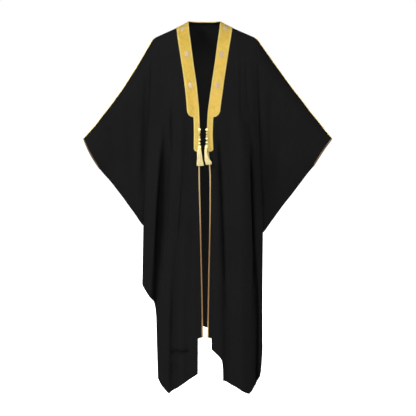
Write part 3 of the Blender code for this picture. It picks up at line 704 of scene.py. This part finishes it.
def build_cloth():
    """Points, normals, way out and shell of each panel."""
    keys = {name: front_keys(name) for name in SIDES}
    fronts = {name: refine(grid) for name, grid in keys.items()}
    back = refine(back_keys(keys["left"][0], keys["right"][0]))
    back[UNDERARM:, 0] = fronts["left"][UNDERARM:, -1]
    back[UNDERARM:, -1] = fronts["right"][UNDERARM:, -1]
    panels = {"back": (back, False, 1)}
    for name, side in SIDES.items():
        panels["front_" + name] = (fronts[name], False, -side["sign"])
        panels["sleeve_" + name] = (sleeve_grid(name, fronts[name], back), True, side["sign"])
    panels = press(panels)
    normals = shared_normals(panels)
    cloth = {}
    for name, (points, closed, outward) in panels.items():
        half = np.full(points.shape[:2], CLOTH_HALF)
        half[-HEM_ROWS:] = HEM_HALF
        piece = shell(name + "_cloth", points, normals[name], -half, half, closed, outward < 0,
                      flat=lengths(points))
        cloth[name] = (points, normals[name], outward, piece)
    return cloth


def rounding(z, end, height):
    """0 above a rounded corner, up to 1 at its lower end."""
    return 1 - np.sqrt(1 - (1 - np.clip((z - end) / height, 0.0, 1.0)) ** 2)


def band_width(z):
    """Width of the front band where its inner edge is at a height."""
    wide = BAND_WIDE - (BAND_WIDE - BAND_NARROW) * rounding(z, BAND_WIDE_END, WIDE_CORNER)
    narrow = BAND_NARROW - NARROW_CORNER * rounding(z, BAND_END, NARROW_CORNER)
    return np.where(z > BAND_WIDE_END, wide, narrow)


def embroidered(name, grid, tilt, across, along, width, turned=False, end=1.0):
    """A band with raised borders and a lattice. end is the distance to its ends."""
    inset = np.minimum(across, width - across)
    border = BORDER_RISE * np.clip(1 - ((inset - BORDER / 2) / (BORDER / 2)) ** 2, 0.0, 1.0) ** 0.5
    diagonal = np.minimum(*(abs(np.sin(np.pi * (across + way * along) / LATTICE)) for way in (1, -1)))
    lattice = LATTICE_RISE * (1 - smooth(0.0, LATTICE_LINE, diagonal)) * (inset > BORDER)
    edge = BAND_EDGE + (1 - BAND_EDGE) * smooth(0.0, BAND_EDGE_WIDTH, inset)
    high = BAND_LOW + (BAND_HIGH - BAND_LOW + np.where(inset < BORDER, border, lattice)) * edge
    return shell(name, grid, tilt, BAND_LOW, high, False, turned, flat=stacked(across, along),
                 inset=stacked(np.minimum(inset, end), along))


def column_of(beside):
    """Column of a front's grid at a distance from its open edge."""
    fine = np.interp(COLUMNS[:sum(TRIM_CUTS) + 1], range(len(TRIM_COLUMNS)), TRIM_COLUMNS)
    return np.interp(beside, fine, np.arange(len(fine)))


def row_of(points, z):
    """Row of a front's grid at a height of its open edge."""
    return np.interp(-np.asarray(z), -points[:, 0, 2], np.arange(len(points)))


def build_band(name, panel):
    """The embroidered band on a front, with its rounded ends."""
    points, _, outward, _ = panel
    upper, round_step, lower, round_end = 230, 24, 90, 18
    crowding = 1.6  # rows lie closer together where a rounded corner begins
    heights = (BAND_WIDE_END + WIDE_CORNER * (1 - np.linspace(0.04, 1, round_step) ** crowding),
               np.linspace(BAND_WIDE_END - 0.0004, BAND_END + NARROW_CORNER, lower),
               BAND_END + NARROW_CORNER * (1 - np.linspace(0.05, 1, round_end) ** crowding))
    line = np.concatenate((np.linspace(0, row_of(points, BAND_WIDE_END + WIDE_CORNER), upper),
                           row_of(points, np.concatenate(heights))))
    edge_z = np.interp(line, np.arange(len(points)), points[:, 0, 2])[:, None]
    width = band_width(edge_z)
    across = width * np.linspace(0, 1, BAND_POINTS)
    grid, tilt = surface(panel, line, column_of(across))
    above = np.where((edge_z > BAND_WIDE_END) & (across > BAND_NARROW), edge_z - BAND_WIDE_END, 1.0)
    return embroidered(f"band_{name}_gold", grid, tilt, across, lengths(grid)[:, :1, 1], width, outward < 0,
                       np.minimum(edge_z - BAND_END, above))


def build_medallion(name, panel, z, beside, wide, tall):
    """A raised oval rosette in silver thread on a band."""
    points, _, outward, _ = panel
    rings, spokes = 9, 64
    reach = np.linspace(0.02, 1, rings)[:, None]
    angle = circle(spokes)
    petals = np.cos(ROSETTE_PETALS * angle)
    right, up = reach * np.cos(angle), reach * np.sin(angle)
    scale = abs(row_of(points, z - tall) - row_of(points, z + tall)) / (2 * tall)
    across = beside + wide * right * (1 + PETAL_REACH * petals)
    rows = row_of(points, z) + tall * scale * up * (1 + PETAL_REACH * petals)
    spots = [surface(panel, [row], column_of([out])) for row, out in zip(rows.ravel(), across.ravel())]
    place, tilt = (np.reshape(found, (rings, spokes, 3)) for found in zip(*spots))
    dome = ROSETTE_DOME * np.sqrt(1 - reach ** 2) + PETAL_RISE * petals * reach * (1 - reach)
    ring_place, ring_width, ring_rise = ROSETTE_RING
    dome = dome + ring_rise * np.exp(-((reach - ring_place) / ring_width) ** 2)
    return shell(name, place, tilt, BAND_HIGH - 0.0004, BAND_HIGH + 0.0003 + dome, True, outward > 0,
                 flat=stacked(wide * right, tall * up))


def build_braid(name, grid, normals, high, turned):
    """A narrow plaited braid over a grid: a low dome with slanting strands."""
    share = np.linspace(-1, 1, grid.shape[1])
    run = lengths(grid)[..., 1].mean(axis=1)[:, None]
    width = np.linalg.norm(grid[0, -1] - grid[0, 0]) / 2
    dome = np.sqrt(1 - BRAID_DOME * share ** 2)
    strands = abs(np.sin(np.pi * (run + abs(share) * width * STRAND_SLANT) / PLAIT))
    height = (high - BAND_LOW) * dome * (1 - STRAND_DEPTH + STRAND_DEPTH * strands)
    return shell(name, grid, normals, BAND_LOW, BAND_LOW + height, False, turned,
                 flat=stacked(share * width, run))


def build_edging(name, panel):
    """The braid down a front's edge, below the band."""
    points, _, outward, _ = panel
    rows, count = 620, 11
    line = np.linspace(*row_of(points, (BAND_END - 0.0006, EDGING_END)), rows)
    spots = surface(panel, line, column_of(EDGING_SHOWN * np.linspace(0, 1, count)))
    return build_braid(f"edging_{name}_gold", *spots, EDGING_HIGH, outward < 0)


def build_neck(panel):
    """The band around the back of the neck, and the piping on the neckline's edge."""
    first = len(COLUMNS) - 1
    reach = sum(TRIM_CUTS)
    columns = np.linspace(first - reach, first + NECK_CELLS * NECK_CUTS + reach, 190)
    grid, tilt = surface(panel, np.linspace(0, sum(ROW_CUTS[:2]), BAND_POINTS), columns)
    run, down = np.moveaxis(lengths(grid), -1, 0)
    band = embroidered("band_neck_gold", grid, tilt, down, run[:1], down[-1:])
    cells = np.linspace(PIPING_START, NECK_CELLS - PIPING_START, 150)
    line, up = (found[0] for found in surface(panel, [0.0], first + cells * NECK_CUTS))
    off = unit(np.cross(np.gradient(line, axis=0), up))
    centres = line + off * (NECK_PIPING / 2 - PIPING_SUNK)
    angle = -circle(12)
    radius = PIPING_SHOWN * NECK_PIPING / 2 * twisted(angle, 3, lengths(centres[:, None])[..., 1], 0.006)
    ring = off[:, None] * np.cos(angle)[:, None] + up[:, None] * np.sin(angle)[:, None]
    return band, tube("neck_piping_gold", centres[:, None] + ring * radius[..., None])


def build_sleeve_braids(name, panel):
    """The braid along the top of a sleeve and the braid around its cuff."""
    rings, normals, outward, _ = panel
    rows, count, near = 380, 9, 6
    grid, tilt = np.zeros((2, SLEEVE_RINGS + 1, count, 3))
    for ring in range(SLEEVE_RINGS + 1):
        beside, lean = (np.roll(values[ring], near, axis=0)[:2 * near + 1]
                        for values in (rings, normals))
        run = lengths(beside[:, None])[:, 0, 1]
        places = run[near] + np.linspace(-1, 1, count) * SLEEVE_BRAID_WIDTH / 2
        for axis in range(3):
            grid[ring, :, axis] = np.interp(places, run, beside[:, axis])
            tilt[ring, :, axis] = np.interp(places, run, lean[:, axis])
    spots = surface((grid, tilt), np.linspace(0, SLEEVE_RINGS, rows), np.arange(count))
    top = build_braid(f"sleeve_braid_{name}_gold", *spots, SLEEVE_BRAID_HIGH, outward < 0)
    cuff_rows = np.linspace(SLEEVE_RINGS, SLEEVE_RINGS + CUFF_RINGS, 7)
    cuff, lean = surface(panel, cuff_rows, np.arange(rings.shape[1]))
    dome = np.sqrt(1 - CUFF_DOME * np.linspace(-1, 1, len(cuff_rows)) ** 2)[:, None]
    cuff = shell(f"cuff_braid_{name}_gold", cuff, lean, BAND_LOW, BAND_LOW + (BRAID_HIGH - BAND_LOW) * dome,
                 True, outward < 0, flat=lengths(cuff)[..., ::-1])
    return top, cuff


def tube_faces(count, sides):
    """Faces of a chain of rings, capped at both ends."""
    last = (count - 1) * sides
    caps = [list(range(sides)), list(range(last, last + sides))[::-1]]
    return grid_faces(count, sides, True)[:, ::-1].tolist() + caps


def tube(name, rings):
    """A closed body from a chain of rings."""
    count, sides = rings.shape[:2]
    run = lengths(rings.mean(axis=1)[:, None])[..., 1]
    around = np.arange(sides) / sides
    flat = stacked(around, run)
    return make_piece(name, rings.reshape(-1, 3), tube_faces(count, sides), flat=flat.reshape(-1, 2))


def twisted(angle, strands, along, pitch):
    """Radius of a twisted cord around and along it, beside its mean."""
    return 1 + TWIST * np.cos(strands * angle - 2 * np.pi * along / pitch)


def spokes_at(angle):
    """Level vectors of length one at some angles."""
    return stacked(np.cos(angle), np.sin(angle), 0.0)


def build_bead(name, centre, radius):
    """A slightly flattened ball."""
    rings, sides = 12, 18
    top = np.pi / 2 - 0.12  # its poles are small flat caps
    turns = np.linspace(top, -top, rings)[:, None, None]
    out = spokes_at(-circle(sides)) * np.cos(turns)
    return tube(name, centre + radius * (out + np.sin(turns) * (0.0, 0.0, BEAD_FLATNESS)))


def string_depth(name):
    """How far in front of the shoulder line a bead string hangs."""
    return BAND_HIGH + BORDER_RISE + 0.0006 + max(half for _, half in BEADS[name][1])


def build_string(name):
    """A hanging string with its beads, and its course."""
    x, beads = BEADS[name]

    def course(z):
        return stacked(x, -table(FRONT_DEPTH, z) - string_depth(name), z)

    centres = course(np.linspace(beads[0][0] + 0.002, STRING_END, 80))
    angle = -circle(10)
    radius = STRING_RADIUS * twisted(angle, 2, centres[:, 2:], 0.004)
    string = tube(f"bead_string_{name}_thread", centres[:, None] + spokes_at(angle) * radius[..., None])
    balls = [build_bead(f"bead_{name}_{count}", course(z), half) for count, (z, half) in enumerate(beads)]
    return string, balls, centres


def tassel_at(name, z):
    """Sideways place, depth, half width and half depth of a tassel at a height."""
    heights, places, halves = (np.array(column)[::-1] for column in zip(*TASSELS[name]))
    deep = np.minimum(halves, TASSEL_DEPTH)
    out = np.maximum(string_depth(name), CLOTH_HALF + EDGING_HIGH + 0.0004 + deep)
    depth = -table(FRONT_DEPTH, heights) - out
    return [np.interp(z, heights, column) for column in (places, depth, halves, deep)]


def build_tassel(name, random):
    """A tassel: a bound neck over a skirt of separate threads."""
    heights = [row[0] for row in TASSELS[name]]
    steps, sides = 14, 5
    t = np.linspace(0, 1, steps)
    ring = spokes_at(-circle(sides)) * THREAD_RADIUS
    threads = []
    for count in range(THREADS):
        turn = 2 * np.pi * count * GOLDEN_SHARE
        reach = THREAD_REACH * np.sqrt((count + 0.5) / THREADS)
        low = heights[-1] + random.uniform(*THREAD_ENDS)
        top = heights[0] - 0.0015
        z = top + (low - top) * t
        sway = THREAD_WAVE * np.sin(2 * np.pi * (t * random.uniform(1.0, 2.2) + random.uniform(0, 1))) * t
        x, y, half, deep = tassel_at(name, z)
        x = x + (half - THREAD_RADIUS) * reach * np.cos(turn) + sway
        y = y + (deep - THREAD_RADIUS) * reach * np.sin(turn)
        line = stacked(x, y, z)
        threads.append(((line[:, None] + ring).reshape(-1, 3), tube_faces(steps, sides)))
    windings = []
    for z in np.linspace(heights[1] + 0.0012, heights[2], 5):
        x, y, half, deep = tassel_at(name, z)
        windings.append(winding((x, y, z), half + 0.0005, deep + 0.0004))
    return (make_piece(f"tassel_{name}_threads", *joined(threads)),
            make_piece(f"tassel_{name}_binding", *joined(windings)))


def winding(middle, half, deep):
    """Points and faces of one closed loop of thread around a tassel's neck."""
    turns, sides = 28, 8
    out = spokes_at(circle(turns))
    line = np.array(middle) + out * (half, deep, 0.0)
    around = -circle(sides)
    rings = (line[:, None] + out[:, None] * (WINDING_RADIUS * np.cos(around))[:, None]
             + np.array((0, 0, WINDING_RADIUS)) * np.sin(around)[:, None])
    return rings.reshape(-1, 3), (grid_faces(turns + 1, sides, True) % (turns * sides)).tolist()


def joined(bodies):
    """Points and faces of several bodies as one mesh."""
    points, faces = [], []
    base = 0
    for places, corners in bodies:
        points.append(places)
        faces += [[base + corner for corner in face] for face in corners]
        base += len(places)
    return np.concatenate(points), faces


def feed(tree, node, **inputs):
    """Sets or links a node's inputs. A colour is given without its alpha."""
    for key, value in inputs.items():
        socket = node.inputs[int(key[5:]) if key.startswith("input") else key.replace("_", " ")]
        if isinstance(value, bpy.types.NodeSocket):
            tree.links.new(value, socket)
        else:
            socket.default_value = (*value, 1.0) if socket.type == "RGBA" else value


def add(tree, kind, settings=(), out=0, **inputs):
    """An output of a new shader node."""
    made = tree.nodes.new("ShaderNode" + kind)
    for key, value in dict(settings).items():
        setattr(made, key, value)
    feed(tree, made, **inputs)
    return made.outputs[out]


def maths(operation, *values):
    """The output of a Math node."""
    inputs = {f"input{place}": value for place, value in enumerate(values)}
    return add(values[0].id_data, "Math", {"operation": operation}, **inputs)


def times(value, factor):
    """One value times another."""
    return maths("MULTIPLY", value, factor)


def wave(value, pitch):
    """-1 to 1, once every pitch."""
    return maths("SINE", times(value, 2 * np.pi / pitch))


def mixed(share, first, second):
    """A colour between two."""
    return add(share.id_data, "Mix", {"data_type": "RGBA"}, 2, input0=share, input6=first, input7=second)


def spread(value, low, high, first=0.0, last=1.0):
    """A value brought from one range into another."""
    return add(value.id_data, "MapRange", Value=value, From_Min=low, From_Max=high, To_Min=first,
               To_Max=last)


def speckle(place, scale, detail, roughness=0.5):
    """Soft noise, drawn out where its scale is three numbers."""
    if isinstance(scale, tuple):
        place = add(place.id_data, "Mapping", Vector=place, Scale=scale)
        scale = 1.0
    return add(place.id_data, "TexNoise", Vector=place, Scale=scale, Detail=detail, Roughness=roughness)


def parts(vector):
    """The three parts of a vector."""
    return add(vector.id_data, "SeparateXYZ", out=slice(3), Vector=vector)


def bump(strength, distance, height):
    """A surface direction that follows a height."""
    return add(height.id_data, "Bump", Strength=strength, Distance=distance, Height=height)


def start_material(name):
    """A new material and its node tree."""
    made = bpy.data.materials.new(name)
    made.use_nodes = True
    return made, made.node_tree


def finish(material, colour, **inputs):
    """Feeds a material's shader."""
    tree = material.node_tree
    feed(tree, tree.nodes["Principled BSDF"], Base_Color=colour, **inputs)
    return material


def black_cloth():
    """Fine black worsted: a matt plain weave with slightly uneven threads."""
    made, tree = start_material("black_worsted")
    flat = add(tree, "UVMap", {"uv_map": "flat"})
    u, v, _ = parts(flat)
    weave = times(wave(u, WORSTED_THREAD), wave(v, WORSTED_THREAD))
    slub = speckle(flat, (900.0, 60.0, 1.0), 3.0)
    broad = speckle(add(tree, "TexCoord", out="Object"), 6.0, 4.0, 0.55)
    tone = maths("ADD", spread(slub, 0.3, 0.7, 0.0, 0.5), times(broad, 0.5))
    height = maths("ADD", weave, times(slub, 1.2))
    return finish(made, mixed(tone, (0.0038, 0.0038, 0.0039), (0.0069, 0.0068, 0.0069)),
                  Normal=bump(0.3, 0.00018, height), Roughness=0.8, Specular_IOR_Level=0.0)


def gold_band():
    """Metal-thread embroidery: pale borders, a lattice between them, fine stitches, and painted shade in
    the groove beside each border.
    """
    made, tree = start_material("gold_embroidery")
    flat, place = add(tree, "UVMap", {"uv_map": "flat"}), add(tree, "TexCoord", out="Object")
    u, v, _ = parts(flat)
    inset = parts(add(tree, "UVMap", {"uv_map": "inset"}))[0]
    both, apart = maths("ADD", u, v), maths("SUBTRACT", u, v)
    lines = (maths("ABSOLUTE", wave(value, 2 * LATTICE)) for value in (both, apart))
    line = spread(maths("MINIMUM", *lines), 0.1, 0.3, 1.0, 0.0)
    border = spread(inset, BORDER, BORDER + 0.0006, 1.0, 0.0)
    # Painted shade: the colour is darkened along the groove where each border meets the lattice
    beside = maths("ABSOLUTE", maths("SUBTRACT", inset, BORDER))
    groove_shade = spread(beside, 0.0, 0.0007, 1.0, 0.0)
    grain = speckle(flat, 260.0, 4.0)
    patches = spread(speckle(flat, (100.0, 52.0, 1.0), 2.0), 0.45, 0.68, 0.0, 0.8)
    blush = spread(speckle(place, 85.0, 2.0), 0.47, 0.66, 0.0, 0.65)
    colour = mixed(spread(parts(place)[2], -0.05, -0.45),
                   (0.332, 0.23, 0.014), (0.35, 0.236, 0.027))
    for share, tone in ((times(line, 0.35), (0.48, 0.37, 0.1)), (patches, (0.275, 0.196, 0.009)),
                        (blush, (0.44, 0.235, 0.022)), (times(grain, 0.3), (0.24, 0.145, 0.022)),
                        (border, (0.348, 0.264, 0.06)), (times(groove_shade, 0.6), (0.3, 0.17, 0.02))):
        colour = mixed(share, colour, tone)
    straight, slant = (wave(value, STITCH) for value in (v, apart))
    stitches = add(tree, "Mix", {"data_type": "FLOAT"}, input0=border, input2=straight, input3=slant)
    relief = maths("ADD", stitches, times(grain, 0.8))
    return finish(made, colour, Normal=bump(0.55, 0.00035, relief), Metallic=0.35,
                  Roughness=0.46)


def gold_braid(name, top, low, end):
    """Narrow gold braid, whose colour runs from top to low, and to end at its very end, with painted shade
    between its strands.
    """
    made, tree = start_material(name)
    flat = add(tree, "UVMap", {"uv_map": "flat"})
    u, v, _ = parts(flat)
    z = parts(add(tree, "TexCoord", out="Object"))[2]
    colour = mixed(spread(z, -0.6, -0.84), top, low)
    colour = mixed(spread(z, -1.15, EDGING_END + 0.03), colour, end)
    slant = maths("ADD", v, times(maths("ABSOLUTE", u), STRAND_SLANT))
    strand = maths("ABSOLUTE", wave(slant, 2 * PLAIT))
    grain = times(speckle(flat, 300.0, 4.0), 0.2)
    # Painted shade darkens the dips between the strands; the grain added to it is the thread's own uneven
    # tone
    strand_shade_and_grain = maths("ADD", spread(strand, 0.0, 0.5, 0.45, 0.0), grain)
    height = maths("ADD", strand, times(wave(slant, BRAID_THREAD), 0.4))
    return finish(made, mixed(strand_shade_and_grain, colour, (0.24, 0.13, 0.03)),
                  Normal=bump(0.5, 0.0003, height), Metallic=0.3, Roughness=0.45)


def thread(name, light, dark, scale, metallic=0.0):
    """Silk or metal thread: fine strands between two tones."""
    made, tree = start_material(name)
    strands = speckle(add(tree, "TexCoord", out="Object"), scale, 3.0, 0.6)
    return finish(made, mixed(spread(strands, 0.35, 0.65), dark, light),
                  Normal=bump(0.4, 0.0003, strands), Roughness=0.5, Metallic=metallic)


def pale_paper():
    """Pale matt paper for the floor."""
    made, tree = start_material("pale_paper")
    grain = speckle(add(tree, "TexCoord", out="Object"), 2.0, 2.0)
    return finish(made, mixed(grain, (0.93, 0.93, 0.93), (0.96, 0.96, 0.96)), Roughness=0.9,
                  Emission_Color=(1.0, 1.0, 1.0), Emission_Strength=FLOOR_GLOW)


def build_stage():
    """A pale floor, wide enough to reach out of every view."""
    corners = [(x, y, FLOOR) for x, y in FLOOR_HALF * np.array(((-1, -1), (1, -1), (1, 1), (-1, 1)))]
    floor = make_piece("floor", np.array(corners), [(0, 1, 2, 3)])
    floor.data.materials.append(pale_paper())


def lamp(name, kind, place, aim, **settings):
    """A lamp at a place, turned to face a point."""
    data = bpy.data.lights.new(name, kind)
    for key, value in settings.items():
        setattr(data, key, value)
    made = placed(data)
    made.location = place
    made.rotation_euler = (Vector(aim) - Vector(place)).to_track_quat("-Z", "Y").to_euler()
    return made


def build_lights():
    """Soft studio light from all around, a small lamp in the hollow, and a white room."""
    for name, (place, size, power, shine) in LAMPS.items():
        made = lamp(name, "AREA", place, LIT_PLACE, size=size, energy=power, use_shadow=name != "back")
        made.visible_glossy = shine
    wide, tall = INSIDE_SIZE
    inside = lamp("inside", "AREA", INSIDE_PLACE, (0.0, 1.0, INSIDE_PLACE[2]), shape="RECTANGLE",
                  size=wide, size_y=tall, energy=INSIDE_POWER)
    inside.visible_camera = False
    lamp("above", "SUN", ABOVE_PLACE, (0.0, 0.0, 0.0), angle=ABOVE_ANGLE, energy=ABOVE_STRENGTH)
    world = bpy.data.worlds.new("studio")
    bpy.context.scene.world = world
    world.use_nodes = True
    tree = world.node_tree
    seen = add(tree, "LightPath", out="Is Camera Ray")
    feed(tree, tree.nodes["Background"], Color=(1.0, 1.0, 1.0),
         Strength=spread(seen, 0.0, 1.0, ROOM_LIGHT, 1.0))
    bpy.context.scene.view_settings.view_transform = "Standard"


def build_camera():
    """The camera at the photograph's viewpoint."""
    data = bpy.data.cameras.new("camera")
    data.lens = CAMERA_LENS
    data.sensor_width = 36.0
    made = placed(data)
    made.location = CAMERA_PLACE
    made.rotation_euler = (np.pi / 2 - CAMERA_DOWN, 0.0, 0.0)
    bpy.context.scene.camera = made


def dress(piece, material, slot, *nodes):
    """Gives a piece its material, hangs it on the root body and hides the model's parts that it stands for.
    slot is not used.
    """
    piece.data.materials.append(material)
    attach(piece, "root")
    if nodes:
        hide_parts(*nodes)


def hang(cloth, panel, *sewn_on):
    """Takes a panel and what is sewn on it, and does nothing with them: cloth, panel and sewn_on are not
    used.
    """


build_camera()
build_lights()
build_stage()
cloth = build_cloth()
bands = {}
medallions = {}
for name in SIDES:
    front = cloth["front_" + name]
    bands[name] = build_band(name, front)
    medallions[name] = [build_medallion(f"medallion_{name}_{count}", front, *sizes)
                        for count, sizes in enumerate(MEDALLIONS)]
edgings = {name: build_edging(name, cloth["front_" + name]) for name in SIDES}
neck_band, neck_piping = build_neck(cloth["back"])
sleeve_braids = {name: build_sleeve_braids(name, cloth["sleeve_" + name]) for name in SIDES}
strings = {name: build_string(name) for name in SIDES}
random = np.random.default_rng(11)
tassels = {name: build_tassel(name, random) for name in SIDES}

worsted = black_cloth()
embroidery = gold_band()
edging_braid = gold_braid("edging_gold", (0.34, 0.255, 0.115), (0.13, 0.068, 0.022), (0.24, 0.165, 0.06))
thin_braid = gold_braid("thin_gold", *[(0.8, 0.62, 0.26)] * 3)
dark_braid = gold_braid("dark_gold", *[(0.022, 0.016, 0.008)] * 3)
neck_braid = gold_braid("neck_gold", *[(0.46, 0.38, 0.15)] * 3)
silver = thread("silver_thread", (0.36, 0.275, 0.15), (0.17, 0.12, 0.065), 900.0, 0.3)
pale_thread = thread("pale_gold_thread", (0.66, 0.585, 0.31), (0.42, 0.34, 0.145), (1400.0, 1400.0, 60.0))
string_thread = thread("string_thread", (0.2, 0.14, 0.05), (0.1, 0.07, 0.02), WOUND)
dim_thread = thread("dim_thread", (0.56, 0.43, 0.16), (0.34, 0.25, 0.08), WOUND)
bead_thread = thread("bead_thread", (0.88, 0.8, 0.42), (0.66, 0.54, 0.2), WOUND)

for name, (_, _, _, piece) in cloth.items():
    dress(piece, worsted, "black_cloth", name)
for name in SIDES:
    dress(bands[name], embroidery, "gold_band", "band_" + name)
    for medallion in medallions[name]:
        dress(medallion, silver, "gold_band")
    dress(edgings[name], edging_braid, "gold_braid", "edging_" + name)
    top, cuff = sleeve_braids[name]
    dress(top, thin_braid, "gold_braid", "sleeve_braid_" + name)
    dress(cuff, dark_braid, "gold_braid", "cuff_braid_" + name)
    string, balls, _ = strings[name]
    dress(string, string_thread, "pale_gold_thread", "bead_string_" + name)
    for count, bead in enumerate(balls):
        dress(bead, dim_thread if count in DARK_BEADS else bead_thread, "pale_gold_thread")
    skirt, binding = tassels[name]
    dress(skirt, pale_thread, "pale_gold_thread", "tassel_" + name)
    dress(binding, bead_thread, "pale_gold_thread")
dress(neck_band, embroidery, "gold_band", "band_neck")
dress(neck_piping, neck_braid, "gold_braid", "neck_piping")

hang(cloth, "back", neck_band, neck_piping)
for name in SIDES:
    hang(cloth, "front_" + name, bands[name], edgings[name], *medallions[name])
    hang(cloth, "sleeve_" + name, *sleeve_braids[name])
    string, balls, centres = strings[name]
